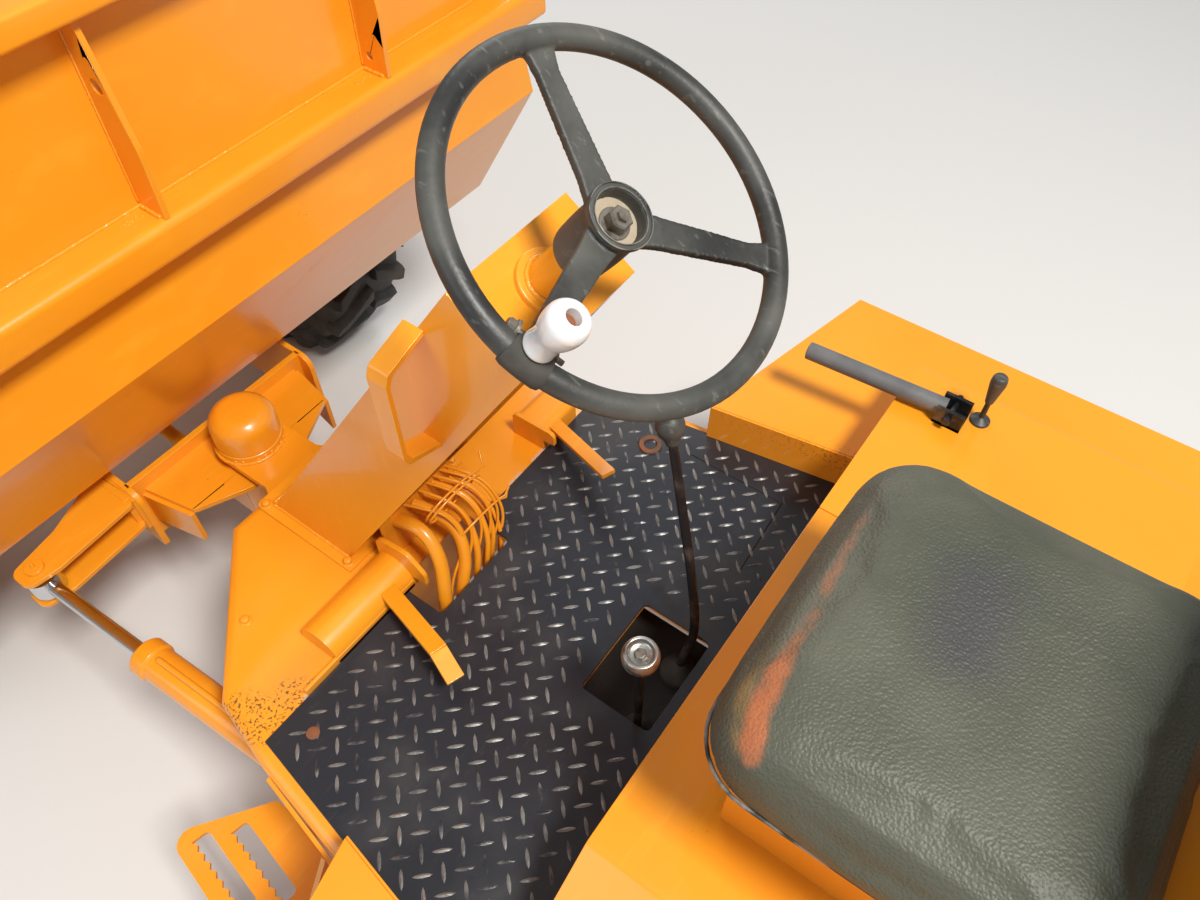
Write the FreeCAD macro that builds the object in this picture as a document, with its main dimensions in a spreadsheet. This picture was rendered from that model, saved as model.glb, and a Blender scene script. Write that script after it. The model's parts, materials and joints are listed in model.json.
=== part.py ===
import FreeCAD, Part
import math
import os
import re
from types import SimpleNamespace

from FreeCAD import Placement, Rotation, Vector

# Site dumper: +X right, +Y forward, +Z up, millimetres, ground at z = 0.
doc = FreeCAD.newDocument("site_dumper")
sheet = doc.addObject("Spreadsheet::Sheet", "Sizes")

SIZES = {
    # machine
    "front_y": 1875, "rear_y": -1875, "pivot_y": 225,
    "front_axle_y": 975, "rear_axle_y": -1125, "axle_z": 380,
    # wheels
    "tyre_r": 380, "lug_depth": 26, "tyre_half": 132, "track_half": 670, "rim_r": 194.5,
    "spindle_r": 40, "spindle_gap": 0.06, "spindle_start": 440, "spindle_end": 640,
    "axle_tube_r": 55, "diff_r": 112,
    # steel
    "thin": 5, "sheet_t": 4, "frame_t": 12, "fit": 0.06, "seat_gap": 0.3,
    # floor, nose and pivot
    "floor_z": 725, "nose_z": 720, "floor_front": -325, "floor_rear": -812,
    "floor_half": 417, "floor_taper": 0.169, "tongue_z": 605, "tongue_t": 14,
    "pin_r": 30, "dome_r": 65, "dome_h": 92,
    # rear module
    "deck_z": 905, "deck_front": -817, "deck_half": 295, "deck_rear": -1790,
    "fender_z": 805, "fender_outer": 854, "fender_rear": -1640,
    "rail_x": 260, "rail_z0": 440, "rail_z1": 620,
    # seat
    "seat_front": -881, "seat_depth": 430, "seat_half": 233, "seat_z": 1229, "seat_h": 105,
    # steering wheel
    "rim_big": 172, "rim_tube": 12, "wheel_y": -641, "wheel_z": 1549, "column_tilt": 35.9,
    # skip
    "skip_half": 850, "skip_wall": 5, "skip_back": 180, "skip_top": 1535,
    "hinge_y": 1200, "hinge_z": 830, "hinge_pin_r": 18,
    # rams
    "steer_pin_x": -428, "steer_pin_y": 307.5, "steer_z": 565,
    "steer_foot_x": -385, "steer_foot_y": -600, "steer_gland": 640,
    "tip_foot_y": 1360, "tip_foot_z": 540, "tip_eye_y": 620, "tip_eye_z": 640, "tip_gland": 560,
    "ram_r": 36, "rod_r": 17,
}
for row, (alias, value) in enumerate(SIZES.items(), 1):
    sheet.set("A%d" % row, alias)
    sheet.set("B%d" % row, str(value))
    sheet.setAlias("B%d" % row, alias)
doc.recompute()
S = SimpleNamespace(**SIZES)
nodes = {}


def expr(text):
    """Put the sheet's name before each alias in an expression."""
    return re.sub(r"[a-z_][a-z_0-9]*",
                  lambda m: "Sizes." + m.group(0) if m.group(0) in SIZES else m.group(0),
                  str(text))


def bind(obj, **props):
    for prop, text in props.items():
        obj.setExpression(prop.replace("__", "."), expr(text))
    return obj


def at(obj, x, y, z):
    return bind(obj, Placement__Base__x=x, Placement__Base__y=y, Placement__Base__z=z)


def block(name, x, y, z):
    """Box between pairs of expressions."""
    b = doc.addObject("Part::Box", name)
    bind(b, Length="(%s)-(%s)" % (x[1], x[0]), Width="(%s)-(%s)" % (y[1], y[0]),
         Height="(%s)-(%s)" % (z[1], z[0]))
    return at(b, x[0], y[0], z[0])


TURN = {
    "x": Rotation(Vector(0, 1, 0), 90),
    "y": Rotation(Vector(1, 0, 0), -90),
    "z": Rotation(),
}


def rod(name, axis, start, length, radius):
    """Cylinder from a start point along an axis letter or vector."""
    c = doc.addObject("Part::Cylinder", name)
    turn = TURN[axis] if isinstance(axis, str) else Rotation(Vector(0, 0, 1), Vector(*axis))
    c.Placement = Placement(Vector(), turn)
    bind(c, Radius=radius, Height=length)
    return at(c, *start)


def segments(points):
    """Lines and corner arcs of a closed outline; a third value on a point rounds it."""
    n = len(points)
    ends = []
    for i, p in enumerate(points):
        here = Vector(p[0], p[1], 0)
        r = p[2] if len(p) > 2 else 0
        if not r:
            ends.append((here, here, None))
            continue
        before = (Vector(*points[i - 1][:2], 0) - here).normalize()
        after = (Vector(*points[(i + 1) % n][:2], 0) - here).normalize()
        half = before.getAngle(after) / 2
        reach = r / math.tan(half)
        middle = here + (before + after).normalize() * (r / math.sin(half) - r)
        ends.append((here + before * reach, here + after * reach, middle))
    out = []
    for i in range(n):
        first, last, middle = ends[i]
        if middle:
            out.append(Part.Arc(first, middle, last))
        start, stop = last, ends[(i + 1) % n][0]
        if (stop - start).Length > 1e-6:
            out.append(Part.LineSegment(start, stop))
    return out


def sketch_on(body, name, role, loops):
    sk = body.newObject("Sketcher::SketchObject", name)
    plane = [f for f in body.Origin.OriginFeatures if f.Role == role][0]
    sk.AttachmentSupport = [(plane, "")]
    sk.MapMode = "FlatFace"
    for loop in loops:
        for g in loop if hasattr(loop[0], "toShape") else segments(loop):
            sk.addGeometry(g, False)
    return sk


PLATE_TURN = {
    "x": Rotation(Vector(1, 1, 1), 120),
    "y": Rotation(Vector(1, 0, 0), 90),
    "z": Rotation(),
}


def circle(cx, cy, r):
    return [Part.Circle(Vector(cx, cy, 0), Vector(0, 0, 1), r)]


def plate(name, axis, at_value, thick, *loops):
    """Flat plate. Outline in (y, z) for x, (x, z) for y, (x, y) for z. Axis y builds towards -Y."""
    body = doc.addObject("PartDesign::Body", name)
    sk = sketch_on(body, name + "_outline", "XY_Plane", loops)
    pad = body.newObject("PartDesign::Pad", name + "_pad")
    pad.Profile = sk
    bind(pad, Length=thick)
    body.Tip = pad
    body.Placement = Placement(Vector(), PLATE_TURN[axis])
    where = {"x": "Placement__Base__x", "y": "Placement__Base__y", "z": "Placement__Base__z"}[axis]
    return bind(body, **{where: at_value})


def turned(name, axis, base, *loops):
    """Turned body: loops of (radius, along) about an axis letter or vector through base."""
    body = doc.addObject("PartDesign::Body", name)
    sk = sketch_on(body, name + "_profile", "XZ_Plane", loops)
    rev = body.newObject("PartDesign::Revolution", name + "_turn")
    rev.Profile = sk
    rev.ReferenceAxis = (sk, ["V_Axis"])
    rev.Angle = 360
    body.Tip = rev
    turn = TURN[axis] if isinstance(axis, str) else Rotation(Vector(0, 0, 1), Vector(*axis))
    body.Placement = Placement(Vector(), turn)
    return at(body, *base)


def fuse(name, *objs):
    if len(objs) == 1:
        objs[0].Label = name
        return objs[0]
    f = doc.addObject("Part::MultiFuse", name)
    f.Shapes = list(objs)
    return f


def cut(name, base, *tools):
    c = doc.addObject("Part::Cut", name)
    c.Base = base
    c.Tool = tools[0] if len(tools) == 1 else fuse(name + "_tools", *tools)
    return c


def node(name, *objs):
    obj = fuse(name, *objs)
    obj.Label = name
    nodes[name] = obj
    return obj


def turn_about(angle, x, y, z, *objs):
    """Tilt built objects about the X axis through a point."""
    for obj in objs:
        obj.Placement = Placement(Vector(x, y, z), Rotation(Vector(1, 0, 0), angle)).multiply(
            Placement(Vector(-x, -y, -z), Rotation())).multiply(obj.Placement)


# Wheels
def wheel(name, sign, axle_y):
    flat = S.tyre_half * 0.78
    inner = S.rim_r + 4
    tread = S.tyre_r
    carcass = turned(name + "_carcass", "x", ("%d*track_half" % sign, axle_y, "axle_z"), [
        (S.rim_r + 0.3, -103), (S.rim_r + 0.3, 103), (inner + 6, 103), (inner + 18, 118), (270, S.tyre_half),
        (330, 124), (tread, flat), (tread, -flat), (330, -124), (270, -S.tyre_half), (inner + 18, -118),
        (inner + 6, -103)])
    node(name + "_tyre", carcass)
    side = sign
    dish = [(S.spindle_r + S.spindle_gap, -120), (S.spindle_r + S.spindle_gap, 10),
            (60, 10), (75, -10), (140, -10), (150, 40), (S.rim_r - 18, 60), (S.rim_r - 18, 98),
            (S.rim_r - 12, 100), (S.rim_r - 22, 100), (S.rim_r - 22, 62),
            (155, 46), (135, -20), (75, -20), (70, -120)]
    rim = turned(name + "_disc", "x", ("%d*track_half" % sign, axle_y, "axle_z"),
                 [(r, side * a) for r, a in dish])
    barrel = turned(name + "_barrel", "x", ("%d*track_half" % sign, axle_y, "axle_z"), [
        (S.rim_r - 10, -108), (S.rim_r + 8, -108), (S.rim_r + 8, -104), (S.rim_r, -103.5),
        (S.rim_r, 103.5), (S.rim_r + 8, 104), (S.rim_r + 8, 108), (S.rim_r - 10, 108),
        (S.rim_r - 18, 96), (S.rim_r - 18, -96)])
    node(name + "_rim", rim, barrel)


for end, axle_y in (("front", "front_axle_y"), ("rear", "rear_axle_y")):
    for hand, sign in (("left", -1), ("right", 1)):
        wheel("%s_%s" % (end, hand), sign, axle_y)

# Axles
for end, axle_y in (("front", "front_axle_y"), ("rear", "rear_axle_y")):
    tube = turned(end + "_axle_tube", "x", (0, axle_y, "axle_z"), [
        (0, -S.spindle_end), (S.spindle_r, -S.spindle_end), (S.spindle_r, -S.spindle_start),
        (S.axle_tube_r, -S.spindle_start), (S.axle_tube_r, -150), (S.diff_r, -60), (S.diff_r, 60),
        (S.axle_tube_r, 150), (S.axle_tube_r, S.spindle_start), (S.spindle_r, S.spindle_start),
        (S.spindle_r, S.spindle_end), (0, S.spindle_end)])
    pads = [block("%s_axle_pad_%d" % (end, k), (x - 40, x + 40), (axle_y + "-50", axle_y + "+50"),
                  ("axle_z", "axle_z+60" if end == "front" else "rail_z0")) for k, x in enumerate((-220, 220))]
    node(end + "_axle", tube, *pads)

# Rear chassis: rails, cross members, tongue
rails = [block("rail_%d" % k, (x - 30, x + 30), (-1800, -150), ("rail_z0", "rail_z1"))
         for k, x in enumerate((-260, 260))]
cross = [block("cross_%d" % k, (-240, 240), (y, y + 60), ("rail_z0", "rail_z1"))
         for k, y in enumerate((-1800, -700, -210))]
tongue = plate("tongue", "z", "tongue_z-tongue_t", "tongue_t", [
    (-290, -150), (-110, 20), (-95, 170), (-75, 290, 40), (75, 290, 40), (95, 170), (110, 20), (290, -150)])
tongue_low = plate("tongue_low", "z", 330, "tongue_t", [
    (-290, -150), (-110, 20), (-95, 170), (-75, 290, 40), (75, 290, 40), (95, 170), (110, 20), (290, -150)])
tongue_web = [block("tongue_web_%d" % k, (x - 6, x + 6), (-200, 60), (330, "tongue_z-tongue_t"))
              for k, x in enumerate((-100, 100))]
low_back = block("tongue_back", (-290, 290), (-210, -150), (330, "rail_z1"))
uprights = [block("upright_%d" % k, (x - 25, x + 25), (y, y + 60), ("rail_z1", "nose_z-thin"))
            for k, (x, y) in enumerate(((-255, -780), (255, -780), (-255, -210), (255, -210)))]
foot_lugs = [plate("foot_lug_%d" % k, "z", z, 10, [
    (-280, -660), (-385, -632, 25), (-412, -600, 25), (-385, -568, 20), (-280, -540)],
    circle(S.steer_foot_x, S.steer_foot_y, 12)) for k, z in enumerate((532, 588))]
foot_pin = rod("foot_pin", "z", ("steer_foot_x", "steer_foot_y", 532), 66, 12)
frame_solid = fuse("rear_frame_solid", *rails, *cross, tongue, tongue_low, *tongue_web, low_back,
                   *uprights, *foot_lugs, foot_pin)
node("rear_chassis", cut("rear_frame_bored", frame_solid,
                         rod("tongue_bore", "z", (0, "pivot_y", 320), 300, "pin_r+seat_gap")))

# Pivot pin with domed cap
node("pivot_pin", turned("pivot_cap", "z", (0, "pivot_y", "tongue_z"), [
    (0, -275), (S.pin_r, -275), (S.pin_r, 0), (S.dome_r, 0), (S.dome_r, S.dome_h - 40), (S.dome_r - 12, S.dome_h - 14), (0, S.dome_h)]))

# Nose plate, floor, console
node("nose_plate", plate("nose", "z", "nose_z-thin", "thin", [
    (-500, -812), (-455, -540), (-443, -348), (-414, -220), (-194, 8), (194, 8), (414, -220), (443, -348),
    (455, -540), (500, -812)]))
y0, y1 = S.floor_front, S.floor_rear
half0 = S.floor_half
half1 = S.floor_half + S.floor_taper * (y0 - y1)
node("floor_plate", plate("floor", "z", "floor_z-thin", "thin", [
    (-half0, y0), (half0, y0), (half1, y1), (-half1, y1)]))
tilt = math.radians(S.column_tilt)
axis = (0, -math.sin(tilt), math.cos(tilt))
foot = (0, S.wheel_y - 150 * axis[1], S.wheel_z - 150 * axis[2])
console = plate("console_box", "x", -105, 210, [
    (-20, S.nose_z), (-200, S.nose_z), (foot[1] - 55 * axis[2], foot[2] + 55 * axis[1]),
    (foot[1] + 55 * axis[2], foot[2] - 55 * axis[1])])
node("console", console)
node("steering_column", rod("column", axis, foot, 105, 23), rod("column_shaft", axis, foot, 134, 10))
hub = turned("wheel_hub", axis, (0, "wheel_y", "wheel_z"), [
    (10 + S.fit, -40), (45, -40), (36, 5), (26, 5), (26, -12), (0, -12), (0, -15), (10 + S.fit, -15)])
ring = doc.addObject("Part::Torus", "wheel_rim")
ring.Placement = Placement(Vector(), Rotation(Vector(0, 0, 1), Vector(*axis)))
bind(ring, Radius1="rim_big", Radius2="rim_tube")
at(ring, 0, "wheel_y", "wheel_z")
spokes = []
for k in range(3):
    a = math.radians(70 + 120 * k)
    side = Vector(1, 0, 0)
    up = Vector(*axis).cross(side)
    d = side * math.cos(a) + up * math.sin(a)
    spokes.append(rod("spoke_%d" % k, tuple(d), (d.x * 30, S.wheel_y + d.y * 30, S.wheel_z + d.z * 30), 140, 9))
node("steering_wheel", ring, hub, *spokes)

# Engine cover, fenders, engine, seat
top0, low0 = S.deck_half, 450
node("engine_cover", cut("cover_shell",
     block("cover_body", (-450, 450), ("deck_rear", "deck_front"), ("rail_z1", "deck_z")),
     block("cover_inside", (-446, 446), ("deck_rear+4", "deck_front-4"), ("rail_z1-10", "deck_z-4"))))
engine_feet = [block("engine_foot_%d" % k, (x0, x0 + 60), (y, y + 60), ("rail_z1", "rail_z1+20"))
               for k, (x0, y) in enumerate(((-250, -1600), (190, -1600), (-250, -1060), (190, -1060)))]
node("engine", block("engine_block", (-200, 200), (-1650, -950), (500, 860)), *engine_feet)
for hand, sign in (("left", -1), ("right", 1)):
    node(hand + "_fender", plate(hand + "_wing", "z", "fender_z-thin", "thin", [
        (sign * 450, -540), (sign * 854, -637), (sign * 854, -1640), (sign * 450, -1640)]))
node("seat_base", block("seat_stand", (-180, 180), (-1270, -920), ("deck_z", "seat_z-seat_h-seat_gap-5")),
     block("seat_pan", (-200, 200), (-1440, -900), ("seat_z-seat_h-seat_gap-5", "seat_z-seat_h-seat_gap")),
     block("seat_spine", (-150, 150), (-1440, -1432), ("seat_z-seat_h-5", 1540)))
node("seat_cushion", block("cushion", ("-seat_half", "seat_half"), ("seat_front-seat_depth", "seat_front"),
                           ("seat_z-seat_h", "seat_z")))
node("seat_back", block("back_pad", ("-seat_half", "seat_half"), (-1431.7, -1330), ("seat_z+10", 1560)))
node("hitch", block("hitch_block", (-100, 100), ("rear_y", -1800), (400, 520)))

# Front chassis
front_side = [plate("front_side_%d" % k, "x", x, "frame_t", [
    (290, 440), (290, 604), (400, 604), (900, 690), (1165, 830, 10), (1200, 868, 34), (1240, 830, 10), (1415, 620),
    (1415, 440)])
    for k, x in enumerate((-226, 214))]
front_cross = [block("front_cross_%d" % k, (-220, 220), (y, y + 20), (z0, z1))
               for k, (y, z0, z1) in enumerate(((330, 440, 560), (700, 520, 560), (1395, 440, 620)))]
boss = rod("pivot_boss", "z", (0, "pivot_y", 360), 215, 55)
hinge_pins = [rod("hinge_pin_%d" % k, "x", (x, "hinge_y", "hinge_z"), 60, "hinge_pin_r")
              for k, x in enumerate((-265, 205))]
foot_ears = [plate("foot_ear_%d" % k, "x", x, 10, [
    (1397, 490), (1360, 510, 20), (1330, 540, 20), (1360, 572, 20), (1397, 590)]) for k, x in enumerate((-34, 24))]
tip_foot_pin = rod("tip_foot_pin", "x", (-34, "tip_foot_y", "tip_foot_z"), 68, 15)
arms = [block("pivot_arm_%d" % k, (x - 8, x + 8), (225, 340), (400, 560)) for k, x in enumerate((-48, 48))]
wings = plate("wings", "z", 563, 12, [
    (-195, 320), (-180, 210), (-60, 154), (60, 154), (180, 210), (195, 320), (60, 330), (-60, 330)])
front_solid = fuse("front_frame_solid", *front_side, *front_cross, boss, *arms, wings, *hinge_pins, *foot_ears,
                   tip_foot_pin)
node("front_chassis", cut("front_frame_bored", front_solid,
                          rod("pivot_bore", "z", (0, "pivot_y", 300), 320, "pin_r+fit")))
lug = [plate("ram_lug_%d" % k, "z", z, 10, [
    (-234, 290), (-400, 280), (-460, 290, 20), (-460, 330, 20), (-350, 350), (-234, 400)])
    for k, z in enumerate((526, 594))]
node("ram_bracket", *lug, block("ram_back_plate", (-234, -226), (290, 400), (510, 604)))

# Skip
profile = [(180, 1535), (180, 1150), (215, 867), (345, 625), (1875, 1122), (1875, 1165), (1150, 1535)]
inner = [(185, 1600), (185, 1150), (220, 867), (349, 631), (1900, 1135), (1900, 1600)]
tub = cut("tub", plate("tub_outer", "x", "-skip_half", "2*skip_half", profile),
          plate("tub_inner", "x", "-skip_half+skip_wall", "2*(skip_half-skip_wall)", inner))
channel = block("channel", ("-skip_half", "skip_half"), (115, 181), (1130, 1212))
rim_bar = block("rim_bar", ("-skip_half", "skip_half"), (125, 181), (1475, 1535))
ribs = [plate("rib_%d" % k, "x", x, 8, [(185, 1210), (130, 1212), (140, 1475), (185, 1475)])
        for k, x in enumerate((-400, 0, 400))]


def under(y):
    """Height of the skip floor's underside."""
    return 625 + (y - 345) * 497 / 1530


hinge_lugs = [plate("hinge_lug_%d" % k, "x", x, 12, [(1165, 830, 8), (1200, 790, 34), (1240, 830, 8), (1300, under(1300) + 2), (1100, under(1100) + 2)],
                    circle(S.hinge_y, S.hinge_z, S.hinge_pin_r + S.fit))
              for k, x in enumerate((-246, 234))]
tip_lugs = [plate("tip_lug_%d" % k, "x", x, 10, [
    (585, 640, 10), (620, 604, 34), (656, 640, 10), (690, under(690) + 2), (560, under(560) + 2)]) for k, x in enumerate((-38, 28))]
node("skip", tub, channel, rim_bar, *ribs, *hinge_lugs, *tip_lugs)

# Rams
sx, sy = S.steer_pin_x - S.steer_foot_x, S.steer_pin_y - S.steer_foot_y
sl = math.hypot(sx, sy)
sd = (sx / sl, sy / sl, 0)
steer_body = fuse("steer_barrel_solid",
                  rod("steer_tube", sd, ("steer_foot_x+%f" % (40 * sd[0]), "steer_foot_y+40", "steer_z"), "steer_gland-40", "ram_r-14"),
                  rod("steer_foot_eye", "z", ("steer_foot_x", "steer_foot_y", "steer_z-20"), 40, 28),
                  rod("steer_neck", sd, ("steer_foot_x", "steer_foot_y", "steer_z"), 60, 14))
node("steer_barrel", cut("steer_barrel_bored", steer_body,
                         rod("steer_foot_bore", "z", ("steer_foot_x", "steer_foot_y", "steer_z-30"), 60, "12+fit"),
                         rod("steer_bore", sd, (S.steer_foot_x + sd[0] * 80, S.steer_foot_y + sd[1] * 80, S.steer_z), 600, "rod_r+fit-4")))
node("steer_rod", rod("steer_shaft", sd, (S.steer_foot_x + sd[0] * 330, S.steer_foot_y + sd[1] * 330, S.steer_z),
                      sl - 330 - 10, "rod_r-4"),
     rod("steer_eye", "z", ("steer_pin_x", "steer_pin_y", "steer_z-22"), 44, 30))
ty, tz = S.tip_eye_y - S.tip_foot_y, S.tip_eye_z - S.tip_foot_z
tl = math.hypot(ty, tz)
td = (0, ty / tl, tz / tl)
tip_body = fuse("tip_barrel_solid",
                rod("tip_tube", td, (0, S.tip_foot_y + td[1] * 45, S.tip_foot_z + td[2] * 45), "tip_gland-45", 42),
                rod("tip_foot_eye", "x", (-22, "tip_foot_y", "tip_foot_z"), 44, 28),
                rod("tip_neck", td, (0, "tip_foot_y", "tip_foot_z"), 60, 18))
node("tip_barrel", cut("tip_barrel_bored", tip_body,
                       rod("tip_foot_bore", "x", (-30, "tip_foot_y", "tip_foot_z"), 60, "15+fit"),
                       rod("tip_bore", td, (0, S.tip_foot_y + td[1] * 90, S.tip_foot_z + td[2] * 90), 600, "22+fit")))
node("tip_rod", rod("tip_shaft", td, (0, S.tip_foot_y + td[1] * 300, S.tip_foot_z + td[2] * 300), tl - 300, 22),
     rod("tip_eye", "x", (-20, "tip_eye_y", "tip_eye_z"), 40, 28))

doc.recompute()
os.makedirs("parts", exist_ok=True)
for name, obj in nodes.items():
    if obj.Shape.isNull() or not obj.Shape.isValid():
        raise RuntimeError(name + " has no valid shape")
for obj in doc.Objects:
    if "Invalid" in obj.State or "Error" in obj.State:
        raise RuntimeError(obj.Name + " failed")
for name, obj in nodes.items():
    obj.Shape.exportStep(os.path.join("parts", name + ".step"))
print(len(nodes), "nodes written")
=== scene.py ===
import json
import math
import random

import bmesh
import bpy
from mathutils import Matrix, Vector
from mathutils.geometry import tessellate_polygon


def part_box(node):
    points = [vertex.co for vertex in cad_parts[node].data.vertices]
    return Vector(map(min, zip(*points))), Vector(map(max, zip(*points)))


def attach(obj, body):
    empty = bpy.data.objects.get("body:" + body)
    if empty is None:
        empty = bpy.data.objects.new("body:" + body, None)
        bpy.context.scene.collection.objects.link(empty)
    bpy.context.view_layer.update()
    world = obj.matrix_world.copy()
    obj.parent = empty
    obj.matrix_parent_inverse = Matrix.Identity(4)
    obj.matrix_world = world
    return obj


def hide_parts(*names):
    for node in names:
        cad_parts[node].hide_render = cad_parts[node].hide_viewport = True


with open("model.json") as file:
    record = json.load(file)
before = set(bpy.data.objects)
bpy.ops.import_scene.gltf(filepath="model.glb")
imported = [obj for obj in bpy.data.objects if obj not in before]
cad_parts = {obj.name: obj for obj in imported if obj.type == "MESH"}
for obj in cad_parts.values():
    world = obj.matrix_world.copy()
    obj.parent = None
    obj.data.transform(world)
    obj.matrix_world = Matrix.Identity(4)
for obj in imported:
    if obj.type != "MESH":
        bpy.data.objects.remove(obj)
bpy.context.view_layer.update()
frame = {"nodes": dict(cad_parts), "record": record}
NODES = frame["nodes"]


class Sock:
    """A shader socket that can be used in plain arithmetic."""

    tree = None

    def __init__(self, socket):
        self.socket = socket

    @staticmethod
    def node(kind, settings=None, **inputs):
        """Add a node: settings first, then values or links of its inputs; returns the node."""
        made = Sock.tree.nodes.new(kind)
        for name, value in (settings or {}).items():
            if name == "stops":
                ramp = made.color_ramp
                while len(ramp.elements) < len(value):
                    ramp.elements.new(0.5)
                for element, (place, colour) in zip(ramp.elements, value):
                    element.position = place
                    element.color = colour if len(colour) == 4 else (*colour, 1)
            else:
                setattr(made, name, value)
        for name, value in inputs.items():
            numbered = name[0] == "i" and name[1:].isdigit()
            socket = made.inputs[int(name[1:]) if numbered else name]
            if isinstance(value, Sock):
                Sock.tree.links.new(value.socket, socket)
            else:
                socket.default_value = value
        return made

    def math(self, operation, other=None, swap=False, clamp=False):
        first, second = (other, self) if swap else (self, other)
        inputs = {"i0": first}
        if second is not None:
            inputs["i1"] = second
        settings = {"operation": operation, "use_clamp": clamp}
        return Sock(Sock.node("ShaderNodeMath", settings, **inputs).outputs[0])

    def __add__(self, other):
        return self.math("ADD", other)

    __radd__ = __add__

    def __sub__(self, other):
        return self.math("SUBTRACT", other)

    def __rsub__(self, other):
        return self.math("SUBTRACT", other, swap=True)

    def __mul__(self, other):
        return self.math("MULTIPLY", other)

    __rmul__ = __mul__

    def __truediv__(self, other):
        return self.math("DIVIDE", other)

    def clamp(self):
        return self.math("ADD", 0.0, clamp=True)

    def most(self, other):
        return self.math("MAXIMUM", other)

    def step(self, low, high):
        """0 below low, 1 above high, smooth between."""
        made = Sock.node("ShaderNodeMapRange", {"interpolation_type": "SMOOTHSTEP"},
                         i0=self, i1=low, i2=high, i3=0.0, i4=1.0)
        return Sock(made.outputs[0])


def place():
    """Position in the object's own frame, as a vector socket."""
    return Sock(Sock.node("ShaderNodeTexCoord").outputs["Object"])


def noise(scale, detail=3.0, at=None, warp=0.0):
    made = Sock.node("ShaderNodeTexNoise", None, Vector=at or place(), Scale=scale, Detail=detail,
                     Roughness=0.55, Distortion=warp)
    return Sock(made.outputs["Fac"])


def pebbles(scale):
    """Round cells, as in the grain of vinyl."""
    made = Sock.node("ShaderNodeTexVoronoi", {"feature": "SMOOTH_F1"}, Vector=place(), Scale=scale)
    return Sock(made.outputs["Distance"])


def vector_math(operation, output, **inputs):
    """One sum on vectors; output is 0 for a vector and 1 for a number."""
    return Sock(Sock.node("ShaderNodeVectorMath", {"operation": operation}, **inputs).outputs[output])


def stretched(x, y, z):
    """Place scaled along each axis, for streaks and brush marks."""
    return vector_math("MULTIPLY", 0, i0=place(), i1=(x, y, z))


def colour(first, second, factor):
    """Mix of two colours by a factor socket."""
    def rgba(value):
        return value if isinstance(value, Sock) else (*value, 1.0)
    made = Sock.node("ShaderNodeMix", {"data_type": "RGBA"}, i0=factor, i6=rgba(first), i7=rgba(second))
    return Sock(made.outputs[2])


def finish(name, build):
    """A node material: build() returns the shader's values, with height and distance for its bump."""
    made = bpy.data.materials.new(name)
    made.use_nodes = True
    Sock.tree = made.node_tree
    shader = Sock.tree.nodes["Principled BSDF"]
    values = build()
    height = values.pop("height", None)
    distance = values.pop("distance", 0.002)
    if height is not None:
        bump = Sock.node("ShaderNodeBump", None, Height=height, Distance=distance, Strength=1.0)
        values["Normal"] = Sock(bump.outputs[0])
    for key, value in values.items():
        socket = shader.inputs[key]
        if isinstance(value, Sock):
            Sock.tree.links.new(value.socket, socket)
        else:
            socket.default_value = value
    return made


def near_line(points, wide):
    """1 on a line through points, falling to 0 at a distance."""
    at = place()
    result = None
    for start, end in zip(points, points[1:]):
        span = Vector(end) - Vector(start)
        off = vector_math("SUBTRACT", 0, i0=at, i1=start)
        share = (vector_math("DOT_PRODUCT", 1, i0=off, i1=tuple(span)) / span.length_squared).clamp()
        nearest = vector_math("SCALE", 0, i0=tuple(span), Scale=share)
        gap = vector_math("SUBTRACT", 0, i0=off, i1=nearest)
        mask = 1.0 - vector_math("LENGTH", 1, i0=gap).step(0.0, wide)
        result = mask if result is None else result.most(mask)
    return result


def orange_paint():
    blotch = noise(2.6, 4)
    brush = noise(1.0, 3, at=stretched(9.0, 60.0, 14.0))
    smudge = noise(3.4, 5, warp=0.6).step(0.58, 0.80)
    chip = noise(210.0, 2).step(0.70, 0.74) * noise(7.0, 3).step(0.58, 0.72)
    base = colour((0.80, 0.270, 0.008), (0.88, 0.350, 0.016), blotch)
    base = colour(base, (0.90, 0.42, 0.035), brush.step(0.52, 0.80) * 0.35)
    base = colour(base, (0.46, 0.150, 0.012), smudge * 0.30)
    base = colour(base, (0.09, 0.035, 0.015), chip * 0.8)
    return {"Base Color": base, "Roughness": 0.24 + 0.18 * blotch + 0.25 * smudge, "Coat Weight": 0.4,
            "Coat Roughness": 0.10, "height": noise(70.0, 3) * 0.15 + noise(7.0, 2) + brush * 0.12,
            "distance": 0.0014}


def nose_paint():
    """Orange worn to brown specks at the rear corner by the floor, with a patch of painted shade, and pale
    strips along the pedal edge that are partly worn paint and partly a painted highlight of the lit edge.
    """
    blotch = noise(2.6, 4)
    corner = near_line([(-0.409, -0.262, 0.72), (-0.385, -0.312, 0.72), (-0.345, -0.316, 0.72)], 0.085)
    speck = noise(210.0, 3).step(0.55, 0.61) * (corner * 1.3 + noise(11.0, 3) - 0.50).step(0.45, 0.95)
    # pale strip along the pedal edge: partly worn paint, partly a painted highlight of the lit edge
    edge = near_line([(-0.36, -0.3235, 0.722), (0.36, -0.3235, 0.722)], 0.010)
    worn_edge_and_highlight = edge * noise(34.0, 4).step(0.48, 0.56)
    shade = near_line([(-0.335, -0.285, 0.725), (-0.262, -0.285, 0.725)], 0.055)
    base = colour((0.82, 0.285, 0.009), (0.88, 0.350, 0.016), blotch)
    base = colour(base, (0.50, 0.19, 0.03), shade * 0.35)
    base = colour(base, (0.075, 0.030, 0.014), speck * 0.85)
    base = colour(base, (0.62, 0.55, 0.45), worn_edge_and_highlight * 0.9)
    return {"Base Color": base, "Roughness": 0.26 + 0.2 * blotch + 0.2 * speck, "Coat Weight": 0.35,
            "Coat Roughness": 0.12, "height": noise(8.0, 3) + speck * -0.5, "distance": 0.0012}


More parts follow.
